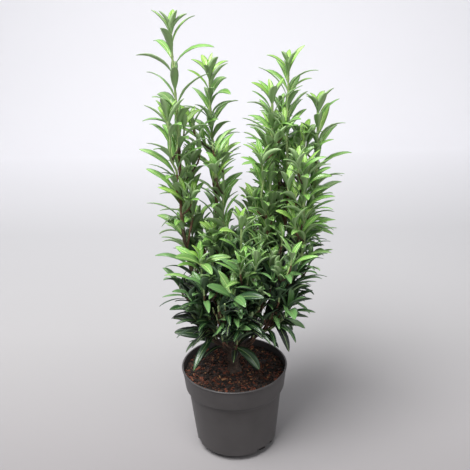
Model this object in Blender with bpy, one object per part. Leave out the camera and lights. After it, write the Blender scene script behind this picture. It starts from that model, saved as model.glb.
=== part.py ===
"""A potted cherry laurel: a young evergreen shrub of upright leafy shoots in a round nursery pot.

Metres, +Z up. The origin is the centre of the pot's flat underside, +X is right and -Y is the front.
Every limb and leaf follows from the shoots' table, the sizes above it and the growth rule.
"""
import math
import random

import bmesh
import bpy
import numpy as np
from mathutils import Matrix

MM = 0.001

# The gap that touching solids keep between them
SEAT = 0.3 * MM

# Pot: a thin-walled round nursery pot with a rim band, on a flat underside
POT_HEIGHT = 0.137
POT_RIM_RADIUS = 0.0820
POT_BAND_RADIUS = 0.0775
POT_BAND_FOOT = 0.104
POT_SHOULDER_RADIUS = 0.0720
POT_SHOULDER_FOOT = 0.093
POT_CHAMFER_RADIUS = 0.0635
POT_CHAMFER_HEIGHT = 0.010
POT_FOOT_RADIUS = 0.0525
POT_WALL = 1.5 * MM
POT_LIP_REACH = 1.2 * MM
POT_LIP_HEIGHT = 2.0 * MM
POT_LIP_RISE = 0.5 * MM
POT_LIP_TAPER = 0.3 * MM
POT_FOOT_MITRE = 0.4
POT_BAND_MITRE = 0.3
POT_SEGMENTS = 44
POT_SMOOTH_ANGLE = math.radians(35)
DRAIN_GROUPS = 3
DRAIN_FIRST_BEARING = math.radians(-42)
DRAIN_PAIR_SPREAD = math.radians(11.5)
DRAIN_WIDTH = 9.5 * MM
DRAIN_HEIGHT = 14 * MM
DRAIN_REACH = 12 * MM

# Soil: a block of bark and peat that fills the pot to a finger's width below its lip
SOIL_TOP = 0.125
SOIL_SEGMENTS = 24
SOIL_BUMP = 1.2 * MM
SOIL_RINGS = (0.75, 0.50)
SOIL_LEVEL_RADIUS = 0.026
SOIL_FOOT_INSET = 8 * MM
SOIL_FOOT_RISE = 12 * MM
SOIL_SEED = 11

# Trunk: from its flat cut on the soil to its fork
TRUNK_HEIGHT = 0.048
TRUNK_FLARE_RADIUS = 13 * MM
TRUNK_NECK_RADIUS = 8.5 * MM
TRUNK_TOP_RADIUS = 6.0 * MM
TRUNK_NECK_AT = 0.22
TRUNK_FLARE_POWER = 1.7
TRUNK_LEAN = (-0.004, 0.002)
TRUNK_SIDES = 10
TRUNK_RINGS = 7
TRUNK_CROWDING = 1.3
TRUNK_CUT_DEPTH = 2 * MM

# Limbs: radii of a shoot's stem at its foot and at its tip, and of a side twig
LIMB_FOOT_RADIUS = 1.7 * MM
LIMB_FOOT_SWELL = 3.4 * MM
LIMB_TIP_RADIUS = 1.3 * MM
TWIG_FOOT_RADIUS = 1.5 * MM
TWIG_TIP_RADIUS = 1.0 * MM
BOUGH_SIDES = 6
BOUGH_STEP = 10 * MM
TWIG_SIDES = 3
STEM_STEP = 26 * MM
PATH_STEP = 2 * MM
PATH_FEWEST = 12
PATH_LOOK = 4 * MM
SWAY = 3.0 * MM
SWAY_WAVES = (1.2, 2.2)

# Leaves: long and narrow, one at a time round the stem, each a golden turn on from the last
LEAF_LENGTH = 0.064
LEAF_LENGTH_RANGE = (0.86, 1.12)
LEAF_YOUNG_SHARE = 0.52
LEAF_YOUNG_SHARE_LOW = 0.84
LEAF_YOUNG_REACH = 15 * MM
LEAF_WIDTH_SHARE = 0.28
LEAF_WIDEST_AT = 0.5
LEAF_STEPS = 8
LEAF_KEEL = 1.1 * MM
LEAF_SPACING = 9.5 * MM
LEAF_SPACING_LOW = 7.5 * MM
LEAF_DENSE_FROM = 0.31
LEAF_SPACING_RANGE = (0.8, 1.2)
LEAF_TURN = math.radians(137.5)
LEAF_TURN_JITTER = 0.2
LEAF_ROLL = 0.30
LEAF_LEAN_SHARE = 0.5

# A leaf's slope at its root and at its tip, and what youth and a low place add to each
LEAF_RISE = math.radians(74)
LEAF_RISE_YOUNG = math.radians(8)
LEAF_RISE_JITTER = 0.15
LEAF_DROOP = math.radians(-3)
LEAF_DROOP_YOUNG = math.radians(40)
LEAF_DROOP_JITTER = 0.36
LEAF_LOW_FROM = 0.32
LEAF_LOW_DEPTH = 0.12
LEAF_LOW_RISE = math.radians(-16)
LEAF_LOW_DROOP = math.radians(-12)
LEAF_HANGING_SHARE = 0.05
LEAF_HANGING_FALL = math.radians(45)

# Where a stem's first leaf stands, and the crown of young leaves at its tip
LEAF_FIRST = 4 * MM
LEAF_FIRST_SIDE = 15 * MM
LEAF_FIRST_TWIG = 12 * MM
CROWN_LEAVES = 5
CROWN_REACH = 9 * MM

# Side twigs on the lower part of a stem
TWIG_REACH = (0.028, 0.048)
TWIG_SPREAD = 0.7
TWIG_LEAF_SHARE = 0.85
TWIG_ZONE_FROM = 0.04
TWIG_ZONE = 0.55
TWIG_PLACES = (0.2, 0.8)
TWIG_POINTS = 4
TWIG_TRIES = 6
TWIG_CHECK_STEP = 8 * MM

# A leaf keeps this far from the spaces of the other masses, from limbs, other leaves and the pot
SPACE_MARGIN = 1.0 * MM
LIMB_MARGIN = 1.5 * MM
LEAF_MARGIN = 4.0 * MM
LEAF_INNER_SHARE = 0.34
POT_MARGIN = 3.0 * MM

# Each turn, lift and share that a leaf tries in order, when its first place isn't free
LEAF_TRIES = (
    (0.0, 0.0, 1.0),
    (0.45, 0.0, 1.0),
    (-0.45, 0.0, 1.0),
    (0.0, 0.35, 0.9),
    (0.8, 0.15, 0.9),
    (-0.8, 0.15, 0.9),
    (0.0, 0.5, 0.75),
)

# Shoots by name: the mass each belongs to, where it starts (a height on the trunk, or on the leader
# of its mass), its tip, how soon it turns upright, the height where its leaves begin, its side twigs
SHOOTS = {
    "tall_left": ("tall_left", 0.156, (-0.069, 0.000, 0.632), 5.0, 0.215, 1),
    "tall_left_side": ("tall_left", 0.400, (-0.078, -0.022, 0.522), 1.6, 0.400, 0),
    "tall_left_inner": ("tall_left", 0.330, (-0.050, 0.024, 0.452), 1.6, 0.330, 0),
    "tall_left_low": ("tall_left", 0.265, (-0.060, 0.044, 0.350), 1.6, 0.265, 0),
    "left_low": ("left_low", 0.150, (-0.058, 0.006, 0.295), 2.6, 0.180, 2),
    "left_low_side": ("left_low", 0.190, (-0.052, -0.024, 0.262), 1.5, 0.190, 0),
    "back_left": ("back_left", 0.156, (-0.024, 0.058, 0.570), 4.0, 0.190, 1),
    "back_left_low": ("back_left", 0.225, (-0.050, 0.078, 0.345), 1.6, 0.225, 0),
    "centre": ("centre", 0.173, (-0.008, 0.002, 0.460), 1.5, 0.195, 2),
    "centre_low": ("centre", 0.225, (-0.030, -0.020, 0.335), 1.6, 0.225, 0),
    "back_right": ("back_right", 0.150, (0.087, 0.056, 0.577), 4.0, 0.188, 1),
    "back_right_side": ("back_right", 0.345, (0.068, 0.066, 0.490), 1.6, 0.345, 0),
    "back_right_low": ("back_right", 0.225, (0.062, 0.082, 0.350), 1.6, 0.225, 0),
    "inner_right": ("inner_right", 0.158, (0.062, 0.004, 0.540), 3.2, 0.200, 2),
    "inner_right_low": ("inner_right", 0.215, (0.058, -0.028, 0.315), 2.0, 0.215, 0),
    "inner_right_side": ("inner_right", 0.230, (0.028, 0.020, 0.345), 1.6, 0.230, 0),
    "inner_right_top": ("inner_right", 0.330, (0.046, -0.016, 0.462), 1.6, 0.330, 0),
    "far_right": ("far_right", 0.140, (0.127, 0.036, 0.522), 2.6, 0.185, 1),
    "far_right_side": ("far_right", 0.320, (0.100, 0.014, 0.450), 1.6, 0.320, 0),
    "far_right_back": ("far_right", 0.205, (0.100, 0.082, 0.345), 2.6, 0.205, 0),
    "front_right": ("front_right", 0.156, (0.104, -0.032, 0.448), 3.4, 0.190, 2),
    "front_right_low": ("front_right", 0.196, (0.080, -0.058, 0.256), 1.4, 0.196, 0),
    "front_right_side": ("front_right", 0.200, (0.070, -0.050, 0.300), 1.6, 0.200, 0),
    "front_centre": ("front_centre", 0.163, (0.017, -0.042, 0.376), 2.6, 0.200, 2),
    "front_centre_low": ("front_centre", 0.208, (0.042, -0.062, 0.280), 1.6, 0.208, 0),
    "front_left": ("front_left", 0.152, (-0.040, -0.046, 0.322), 3.0, 0.194, 2),
    "front_left_low": ("front_left", 0.200, (-0.058, -0.040, 0.244), 1.5, 0.200, 0),
    "front_left_side": ("front_left", 0.204, (-0.018, -0.046, 0.288), 1.6, 0.204, 0),
    "front_low": ("front_low", 0.145, (0.004, -0.064, 0.278), 2.6, 0.208, 0),
    "front_low_left": ("front_low", 0.214, (-0.016, -0.052, 0.258), 1.5, 0.214, 0),
    "front_low_right": ("front_low", 0.212, (0.026, -0.064, 0.246), 1.5, 0.212, 0),
    "back_low": ("back_low", 0.158, (0.030, 0.080, 0.372), 3.0, 0.185, 1),
    "back_low_left": ("back_low", 0.196, (-0.022, 0.100, 0.318), 2.0, 0.196, 0),
    "back_low_right": ("back_low", 0.200, (0.052, 0.064, 0.300), 1.8, 0.200, 0),
}

# Colours of the plain finishes
POT_GREY = (0.060, 0.058, 0.060, 1.0)
SOIL_BROWN = (0.045, 0.024, 0.015, 1.0)
BARK_BROWN = (0.075, 0.040, 0.024, 1.0)
LEAF_GREENS = ((0.090, 0.200, 0.035, 1.0), (0.060, 0.150, 0.030, 1.0), (0.035, 0.100, 0.022, 1.0))


def material(name, colour, roughness):
    """A plain finish of one colour."""
    made = bpy.data.materials.new(name)
    made.use_nodes = True
    shader = made.node_tree.nodes["Principled BSDF"]
    shader.inputs["Base Color"].default_value = colour
    shader.inputs["Roughness"].default_value = roughness
    shader.inputs["Metallic"].default_value = 0.0
    return made


def add_object(name, mesh, finish):
    """Puts a mesh into the scene under its name, with its finish."""
    mesh.materials.clear()
    mesh.materials.append(finish)
    made = bpy.data.objects.new(name, mesh)
    bpy.context.scene.collection.objects.link(made)
    return made


def mesh_from(name, points, faces):
    """A mesh of the points and faces, with its faces turned outwards."""
    mesh = bpy.data.meshes.new(name)
    mesh.from_pydata([tuple(point) for point in points], [], faces)
    shape = bmesh.new()
    shape.from_mesh(mesh)
    bmesh.ops.recalc_face_normals(shape, faces=shape.faces)
    shape.to_mesh(mesh)
    shape.free()
    return mesh


def turned(name, profile, segments):
    """Spins a profile of (radius, height) points round the Z axis and closes it at the axis."""
    shape = bmesh.new()
    corners = [shape.verts.new((radius, 0.0, height)) for radius, height in profile]
    edges = [shape.edges.new(pair) for pair in zip(corners, corners[1:])]
    bmesh.ops.spin(shape, geom=corners + edges, axis=(0, 0, 1), cent=(0, 0, 0),
                   angle=2 * math.pi, steps=segments, use_merge=True)
    bmesh.ops.remove_doubles(shape, verts=shape.verts, dist=0.01 * MM)
    bmesh.ops.recalc_face_normals(shape, faces=shape.faces)
    mesh = bpy.data.meshes.new(name)
    shape.to_mesh(mesh)
    shape.free()
    mesh.shade_smooth()
    mesh.set_sharp_from_angle(angle=POT_SMOOTH_ANGLE)
    return mesh


def apply_modifiers(target):
    """Replaces an object's mesh by the one its modifiers make."""
    graph = bpy.context.evaluated_depsgraph_get()
    mesh = bpy.data.meshes.new_from_object(target.evaluated_get(graph))
    target.modifiers.clear()
    target.data = mesh


def cut_away(target, cutter):
    """Cuts a cutter's shape out of a target by a Boolean difference."""
    cut = target.modifiers.new("cut", "BOOLEAN")
    cut.operation = "DIFFERENCE"
    cut.object = cutter
    apply_modifiers(target)


def pot_outside():
    """The pot's outer profile from the axis of its underside up to its lip."""
    lip_foot = POT_HEIGHT - POT_LIP_HEIGHT
    return [
        (0.0, 0.0),
        (POT_FOOT_RADIUS, 0.0),
        (POT_CHAMFER_RADIUS, POT_CHAMFER_HEIGHT),
        (POT_SHOULDER_RADIUS, POT_SHOULDER_FOOT),
        (POT_BAND_RADIUS, POT_BAND_FOOT),
        (POT_RIM_RADIUS - POT_LIP_REACH, lip_foot),
        (POT_RIM_RADIUS, lip_foot + POT_LIP_RISE),
        (POT_RIM_RADIUS - POT_LIP_TAPER, POT_HEIGHT),
    ]


def pot_inside(clearance):
    """The pot's inner profile from its floor up, moved inwards by a clearance."""
    inset = POT_WALL + clearance
    return [
        (0.0, inset),
        (POT_FOOT_RADIUS - inset * POT_FOOT_MITRE, inset),
        (POT_CHAMFER_RADIUS - inset, POT_CHAMFER_HEIGHT + inset * POT_FOOT_MITRE),
        (POT_SHOULDER_RADIUS - inset, POT_SHOULDER_FOOT + inset * POT_BAND_MITRE),
        (POT_BAND_RADIUS - inset, POT_BAND_FOOT + inset * POT_BAND_MITRE),
        (POT_RIM_RADIUS - POT_LIP_REACH - inset, POT_HEIGHT),
    ]


def make_pot():
    """The pot: its outer and inner profiles as one wall, with pairs of drain slots round its foot."""
    profile = pot_outside() + pot_inside(0.0)[::-1]
    pot = add_object("pot", turned("pot", profile, POT_SEGMENTS), material("pot_plastic", POT_GREY, 0.5))
    slots = bmesh.new()
    for group in range(DRAIN_GROUPS):
        for side in (-0.5, 0.5):
            bearing = DRAIN_FIRST_BEARING + group * 2 * math.pi / DRAIN_GROUPS + side * DRAIN_PAIR_SPREAD
            made = bmesh.ops.create_cube(slots, size=1.0)["verts"]
            bmesh.ops.scale(slots, vec=(DRAIN_REACH * 2, DRAIN_WIDTH, DRAIN_HEIGHT * 2), verts=made)
            bmesh.ops.translate(slots, vec=(POT_CHAMFER_RADIUS, 0, 0), verts=made)
            bmesh.ops.rotate(slots, cent=(0, 0, 0), matrix=Matrix.Rotation(bearing, 3, "Z"), verts=made)
    mesh = bpy.data.meshes.new("drain_cutter")
    slots.to_mesh(mesh)
    slots.free()
    cutter = add_object("drain_cutter", mesh, pot.data.materials[0])
    cut_away(pot, cutter)
    bpy.data.objects.remove(cutter)


def soil_profile():
    """The soil's side follows the pot's inner wall, stands back from the drain slots, and ends at its top."""
    wall = pot_inside(SEAT)
    (foot_radius, foot), (side_radius, side) = wall[1], wall[2]
    wall[1] = (foot_radius - SOIL_FOOT_INSET, foot)
    wall[2] = (side_radius, side + SOIL_FOOT_RISE)
    (low_radius, low), (high_radius, high) = wall[-2], wall[-1]
    share = (SOIL_TOP - low) / (high - low)
    edge = low_radius + share * (high_radius - low_radius)
    rings = [(edge * ring, SOIL_TOP) for ring in (1.0,) + SOIL_RINGS]
    return wall[:-1] + rings + [(SOIL_LEVEL_RADIUS, SOIL_TOP), (0.0, SOIL_TOP)]


def make_soil():
    """The soil block, with low bumps on its top outside the level patch round the trunk."""
    soil = add_object("soil", turned("soil", soil_profile(), SOIL_SEGMENTS),
                      material("bark_mulch", SOIL_BROWN, 0.95))
    chance = random.Random(SOIL_SEED)
    for corner in soil.data.vertices:
        on_top = corner.co.z > SOIL_TOP - SEAT
        if on_top and math.hypot(corner.co.x, corner.co.y) > SOIL_LEVEL_RADIUS + MM:
            corner.co.z += chance.uniform(-1.0, 1.0) * SOIL_BUMP


def unit(vector):
    """The vector at length one."""
    return vector / np.linalg.norm(vector)


def trunk_axis(height):
    """A point on the trunk's leaning axis at a height above the table."""
    share = (height - SOIL_TOP) / TRUNK_HEIGHT
    return np.array([TRUNK_LEAN[0] * share, TRUNK_LEAN[1] * share, height])


def trunk_radius(share):
    """The trunk's radius: a root flare that narrows to the neck, then an even taper to the fork."""
    if share < TRUNK_NECK_AT:
        down = 1.0 - share / TRUNK_NECK_AT
        return TRUNK_NECK_RADIUS + (TRUNK_FLARE_RADIUS - TRUNK_NECK_RADIUS) * down ** TRUNK_FLARE_POWER
    up = (share - TRUNK_NECK_AT) / (1.0 - TRUNK_NECK_AT)
    return TRUNK_NECK_RADIUS + (TRUNK_TOP_RADIUS - TRUNK_NECK_RADIUS) * up


def shoot_path(name):
    """Points along a shoot's axis, a short step apart: it leaves its parent at an angle and turns upright.

    The sideways share of the way is 1 - (1 - t) ** upright, where t is the share of the height,
    and a slow seeded sway is added that is nothing at both ends.
    """
    mass, start, tip, upright, _, _ = SHOOTS[name]
    if name == mass:
        foot = trunk_axis(start)
    else:
        leader = shoot_path(mass)
        foot = leader[np.argmin(np.abs(leader[:, 2] - start))]
    tip = np.array(tip)
    count = max(PATH_FEWEST, int((tip[2] - foot[2]) / PATH_STEP))
    share = np.linspace(0.0, 1.0, count)[:, None]
    out = 1.0 - (1.0 - share) ** upright
    path = foot + (tip - foot) * np.concatenate([out, out, share], axis=1)
    chance = random.Random("sway " + name)
    fade = 4.0 * share[:, 0] * (1.0 - share[:, 0])
    for axis in (0, 1):
        waves = chance.uniform(*SWAY_WAVES)
        phase = chance.uniform(0.0, 2.0 * math.pi)
        path[:, axis] += SWAY * fade * np.sin(2.0 * math.pi * waves * share[:, 0] + phase)
    return path


def run_lengths(path):
    """The length along a path up to each of its points."""
    return np.concatenate([[0.0], np.cumsum(np.linalg.norm(np.diff(path, axis=0), axis=1))])


def place_on(path, lengths, at):
    """The point on a path at a length."""
    return np.array([np.interp(at, lengths, path[:, axis]) for axis in range(3)])


def point_along(path, lengths, at):
    """The point on a path at a length, and the path's direction there."""
    ahead = place_on(path, lengths, at + PATH_LOOK) - place_on(path, lengths, at - PATH_LOOK)
    return place_on(path, lengths, at), unit(ahead)


def sampled(path, step):
    """The path with its points a step apart, both ends kept."""
    lengths = run_lengths(path)
    count = max(2, int(round(lengths[-1] / step)) + 1)
    places = np.linspace(0.0, lengths[-1], count)
    return np.stack([np.interp(places, lengths, path[:, axis]) for axis in range(3)], axis=1)


def limb_radius(name, height):
    """A shoot's radius at a height: an even taper from its foot to its tip."""
    mass, start, tip, _, _, _ = SHOOTS[name]
    share = min(max((height - start) / (tip[2] - start), 0.0), 1.0)
    foot = LIMB_FOOT_RADIUS
    if name == mass:
        foot += LIMB_FOOT_SWELL * (tip[2] - start)
    return foot + (LIMB_TIP_RADIUS - foot) * share


def tube(points, radii, sides, pointed=False, first=None, last=None):
    """A tapering tube along the points: its corners and faces, with flat ends or a pointed tip.

    The first and the last ring may be given the direction that they face.
    """
    points = np.asarray(points)
    directions = np.gradient(points, axis=0)
    if first is not None:
        directions[0] = first
    if last is not None:
        directions[-1] = last
    directions /= np.linalg.norm(directions, axis=1)[:, None]
    across = np.cross(directions, (0.0, 1.0, 0.0))
    across /= np.linalg.norm(across, axis=1)[:, None]
    up = np.cross(directions, across)
    turns = np.arange(sides) * 2.0 * math.pi / sides
    rings = (points[:, None] + np.asarray(radii)[:, None, None]
             * (np.cos(turns)[None, :, None] * across[:, None] + np.sin(turns)[None, :, None] * up[:, None]))
    corners = list(rings.reshape(-1, 3))
    faces = []
    end = (len(points) - 1) * sides
    for ring in range(0, end, sides):
        for side in range(sides):
            here, there = ring + side, ring + (side + 1) % sides
            faces.append((here, there, there + sides, here + sides))
    faces.append(tuple(range(sides))[::-1])
    if pointed:
        corners.append(points[-1] + directions[-1] * radii[-1])
        for side in range(sides):
            faces.append((end + side, end + (side + 1) % sides, len(corners) - 1))
    else:
        faces.append(tuple(range(end, end + sides)))
    return corners, faces


def leaf_frame(root, stem_direction, turn, rise, droop, length, roll):
    """A leaf's axis from its root to its tip, and its sideways direction.

    A leaf lies in the upright plane of its bearing. Its slope falls evenly from its rise at the root
    to its droop at the tip, so its axis is an arc, which the stem's own lean tips in part.
    """
    bearing = np.array([math.cos(turn), math.sin(turn), 0.0])
    outward = unit(bearing - stem_direction * (bearing @ stem_direction) * LEAF_LEAN_SHARE)
    upward = unit(stem_direction + np.array([0.0, 0.0, 1.0]))
    upward = unit(upward - outward * (upward @ outward))
    shares = (np.arange(LEAF_STEPS) + 0.5) / LEAF_STEPS
    slopes = rise + (droop - rise) * shares
    moves = (np.cos(slopes)[:, None] * outward + np.sin(slopes)[:, None] * upward) * (length / LEAF_STEPS)
    axis = np.concatenate([root[None], root + np.cumsum(moves, axis=0)])
    side = np.cross(outward, upward)
    return axis, unit(math.cos(roll) * side + math.sin(roll) * upward)


def leaf_row(chance, root, direction, turn, below, share, crown):
    """Draws one leaf's numbers. Young ones near the tip are short and upright, old ones arch over."""
    young = math.exp(-below / LEAF_YOUNG_REACH)
    low = min(max((LEAF_LOW_FROM - root[2]) / LEAF_LOW_DEPTH, 0.0), 1.0)
    young_share = LEAF_YOUNG_SHARE + (LEAF_YOUNG_SHARE_LOW - LEAF_YOUNG_SHARE) * low
    length = LEAF_LENGTH * share * (1.0 - (1.0 - young_share) * young)
    length *= chance.uniform(*LEAF_LENGTH_RANGE)
    low *= 1.0 - young
    rise = LEAF_RISE + LEAF_RISE_YOUNG * young + LEAF_LOW_RISE * low
    rise += chance.uniform(-LEAF_RISE_JITTER, LEAF_RISE_JITTER)
    droop = LEAF_DROOP + LEAF_DROOP_YOUNG * young + LEAF_LOW_DROOP * low
    droop += chance.uniform(-LEAF_DROOP_JITTER, LEAF_DROOP_JITTER)
    if chance.random() < LEAF_HANGING_SHARE:
        rise -= LEAF_HANGING_FALL * low
        droop -= LEAF_HANGING_FALL * low
    return {"root": root, "direction": direction, "turn": turn, "rise": rise, "droop": droop,
            "length": length, "roll": chance.uniform(-LEAF_ROLL, LEAF_ROLL), "crown": crown}


def leaves_along(chance, path, first, share, crown):
    """Leaves round a path from a length to its tip, each a golden turn on from the last, then its crown."""
    lengths = run_lengths(path)
    total = lengths[-1]
    rows = []
    turn = chance.uniform(0.0, 2.0 * math.pi)
    at = first
    while at < total - CROWN_REACH:
        point, direction = point_along(path, lengths, at)
        wobble = chance.uniform(-LEAF_TURN_JITTER, LEAF_TURN_JITTER)
        rows.append(leaf_row(chance, point, direction, turn + wobble, total - at, share, False))
        turn += LEAF_TURN
        low = min(max((LEAF_DENSE_FROM - point[2]) / LEAF_LOW_DEPTH, 0.0), 1.0)
        spacing = LEAF_SPACING + (LEAF_SPACING_LOW - LEAF_SPACING) * low
        at += spacing * chance.uniform(*LEAF_SPACING_RANGE)
    for index in range(crown):
        at = total - CROWN_REACH * (1.0 - (index + 0.5) / crown)
        point, direction = point_along(path, lengths, at)
        rows.append(leaf_row(chance, point, direction, turn, total - at, share, True))
        turn += LEAF_TURN
    return rows


def leafy_path(name):
    """The part of a shoot's axis that carries leaves, as the straight pieces of its stem."""
    mass, _, _, _, leaves_from, _ = SHOOTS[name]
    path = shoot_path(name)
    if name == mass:
        path = path[path[:, 2] >= leaves_from]
    return sampled(path, STEM_STEP)


def twig_path(root, turn, reach):
    """A side twig's axis: it leaves its stem at an angle and turns upright."""
    out = np.array([math.cos(turn), math.sin(turn), 0.0])
    share = np.linspace(0.0, 1.0, TWIG_POINTS)[:, None]
    return root + reach * (out * TWIG_SPREAD * (1.0 - (1.0 - share) ** 2) + np.array([0.0, 0.0, 1.0]) * share)


def grow_twigs(name, stems, limbs):
    """Side twigs up the lower half of a shoot, each tried at a few turns until it fits its mass's space."""
    mass, _, _, _, _, count = SHOOTS[name]
    path = leafy_path(name)
    lengths = run_lengths(path)
    chance = random.Random("twigs " + name)
    twigs = []
    for index in range(count):
        at = lengths[-1] * (TWIG_ZONE_FROM + TWIG_ZONE * (index + chance.uniform(*TWIG_PLACES)) / count)
        root = place_on(path, lengths, at)
        turn = chance.uniform(0.0, 2.0 * math.pi)
        reach = chance.uniform(*TWIG_REACH)
        for tried in range(TWIG_TRIES):
            twig = twig_path(root, turn + tried * LEAF_TURN, reach)
            if in_own_space(sampled(twig, TWIG_CHECK_STEP)[2:], mass, stems, limbs):
                twigs.append(twig)
                break
    return twigs


def leaf_points(row, tried):
    """A leaf's axis, its sideways direction and its length, after a turn, a lift and a share of its length."""
    turn, lift, share = tried
    length = row["length"] * share
    axis, side = leaf_frame(row["root"], row["direction"], row["turn"] + turn, row["rise"] + lift,
                            row["droop"] + lift, length, row["roll"])
    return axis, side, length


def leaf_half_width(share):
    """Half a leaf's width as a share of its widest, rising to the widest place and falling to the tip."""
    if share < LEAF_WIDEST_AT:
        return share / LEAF_WIDEST_AT
    return (1.0 - share) / (1.0 - LEAF_WIDEST_AT)


def leaf_samples(axis, side, length):
    """Points over a leaf from a little past its root: on its axis and along both its edges."""
    shares = np.arange(1, len(axis)) / (len(axis) - 1)
    half = 0.5 * length * LEAF_WIDTH_SHARE * np.array([leaf_half_width(share) for share in shares])
    middle = axis[1:]
    return np.concatenate([middle, middle + side * half[:, None], middle - side * half[:, None]])


def distance_to(points, path):
    """The least distance of each point from a path's straight pieces."""
    start, end = path[:-1], path[1:]
    along = end - start
    share = np.einsum("pij,ij->pi", points[:, None] - start[None], along) / np.einsum("ij,ij->i", along, along)
    share = np.clip(share, 0.0, 1.0)
    nearest = start[None] + share[..., None] * along[None]
    return np.linalg.norm(points[:, None] - nearest, axis=2).min(axis=1)


def in_own_space(points, mass, stems, limbs):
    """Whether all the points are nearer to their own mass's stems than to others, clear of limbs and pot."""
    own = np.min([distance_to(points, path) for path in stems[mass]], axis=0)
    for other, paths in stems.items():
        if other != mass:
            for path in paths:
                if (distance_to(points, path) - own).min() < 2.0 * SPACE_MARGIN:
                    return False
    for path, radius in limbs:
        if distance_to(points, path).min() < radius + LIMB_MARGIN:
            return False
    near_rim = np.hypot(points[:, 0], points[:, 1]) > POT_BAND_RADIUS - 2.0 * POT_MARGIN
    over_soil = points[:, 2].min() > SOIL_TOP + POT_MARGIN
    return bool(over_soil and (points[near_rim, 2] > POT_HEIGHT + POT_MARGIN).all())


def outer_samples():
    """Which of a leaf's samples lie on its outer part, past its inner share."""
    shares = np.arange(1, LEAF_STEPS + 1) / LEAF_STEPS
    return np.tile(shares > LEAF_INNER_SHARE, 3)


def meets_own(outer, paths, taken):
    """Whether a leaf's outer part would touch a stem or another leaf of its own mass."""
    if min(distance_to(outer, path).min() for path in paths) < 2.0 * LIMB_MARGIN:
        return True
    if not taken:
        return False
    others = np.concatenate(taken)
    return np.linalg.norm(outer[:, None] - others[None], axis=2).min() < LEAF_MARGIN


def leaf_solid(name, axis, side, length):
    """A leaf of six faces: its root, its tip, both its edges where it is widest, and the keel of its midrib."""
    middle = place_on(axis, np.arange(len(axis)), LEAF_WIDEST_AT * LEAF_STEPS)
    over = unit(np.cross(side, axis[-1] - axis[0]))
    half = side * 0.5 * length * LEAF_WIDTH_SHARE
    corners = [axis[0], axis[-1], middle + half, middle - half, middle - over * LEAF_KEEL]
    faces = [(0, 2, 3), (1, 3, 2), (0, 4, 2), (0, 3, 4), (1, 2, 4), (1, 4, 3)]
    return bpy.data.objects.new(name, mesh_from(name, corners, faces))


def fuse(base, parts):
    """Joins the parts onto the base by one Boolean union, and removes them."""
    group = bpy.data.collections.new(base.name + "_parts")
    bpy.context.scene.collection.children.link(group)
    for part in parts:
        group.objects.link(part)
    join = base.modifiers.new("join", "BOOLEAN")
    join.operation = "UNION"
    join.operand_type = "COLLECTION"
    join.collection = group
    apply_modifiers(base)
    for part in parts:
        bpy.data.objects.remove(part)
    bpy.data.collections.remove(group)


def keep_one_body(target):
    """Drops loose scraps and sealed hollows: only the largest connected shell stays."""
    shape = bmesh.new()
    shape.from_mesh(target.data)
    bmesh.ops.triangulate(shape, faces=shape.faces)
    left = set(shape.verts)
    shells = []
    while left:
        shell, edge = set(), [left.pop()]
        while edge:
            corner = edge.pop()
            shell.add(corner)
            for link in corner.link_edges:
                other = link.other_vert(corner)
                if other in left:
                    left.remove(other)
                    edge.append(other)
        shells.append(shell)
    shells.sort(key=len)
    for shell in shells[:-1]:
        bmesh.ops.delete(shape, geom=list(shell), context="VERTS")
    shape.to_mesh(target.data)
    shape.free()


def add_trunk(name, finish, larger):
    """The trunk, or its shape made larger: rings up its leaning axis from the flat cut to the fork."""
    shares = np.linspace(0.0, 1.0, TRUNK_RINGS) ** TRUNK_CROWDING
    foot = SOIL_TOP + SEAT
    heights = foot + (SOIL_TOP + TRUNK_HEIGHT + larger - foot) * shares
    points = [trunk_axis(height) for height in heights]
    corners, faces = tube(points, [trunk_radius(share) + larger for share in shares], TRUNK_SIDES)
    corners = [np.array([x, y, z if z > foot + TRUNK_CUT_DEPTH else foot]) for x, y, z in corners]
    return add_object(name, mesh_from(name, corners, faces), finish)


def joint_of(mass):
    """Where a mass's leafy stem meets its bough, and the direction there."""
    path = shoot_path(mass)
    index = int(np.argmax(path[:, 2] >= SHOOTS[mass][4]))
    return path[index], unit(path[index + 1] - path[index - 1])


def bough_path(mass):
    """The bare part of a mass's leader, from the trunk to just below its leafy stem."""
    path = shoot_path(mass)
    joint, direction = joint_of(mass)
    bare = path[path[:, 2] < joint[2] - MM]
    return np.concatenate([bare, [joint - direction * SEAT]])


def make_bough(mass, clearance):
    """A bough: one tapering limb whose foot is cut clear of the trunk."""
    path = sampled(bough_path(mass), BOUGH_STEP)
    radii = [limb_radius(mass, height) for height in path[:, 2]]
    corners, faces = tube(path, radii, BOUGH_SIDES, last=joint_of(mass)[1])
    name = "bough_" + mass
    bough = add_object(name, mesh_from(name, corners, faces), material(name + "_bark", BARK_BROWN, 0.8))
    cut_away(bough, clearance)
    keep_one_body(bough)


def grow_leaves(mass, stems_and_twigs, spaces, limbs):
    """A mass's leaves: each row of its stems and twigs that finds a free place in the mass's own space."""
    leaves, taken = [], []
    for rows in stems_and_twigs:
        for row in rows:
            for tried in LEAF_TRIES:
                axis, side, length = leaf_points(row, tried)
                samples = leaf_samples(axis, side, length)
                if not in_own_space(samples, mass, spaces, limbs):
                    continue
                outer = samples[outer_samples()]
                if not row["crown"] and meets_own(outer, spaces[mass], taken):
                    continue
                leaves.append((axis, side, length))
                taken.append(outer)
                break
    return leaves


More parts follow.
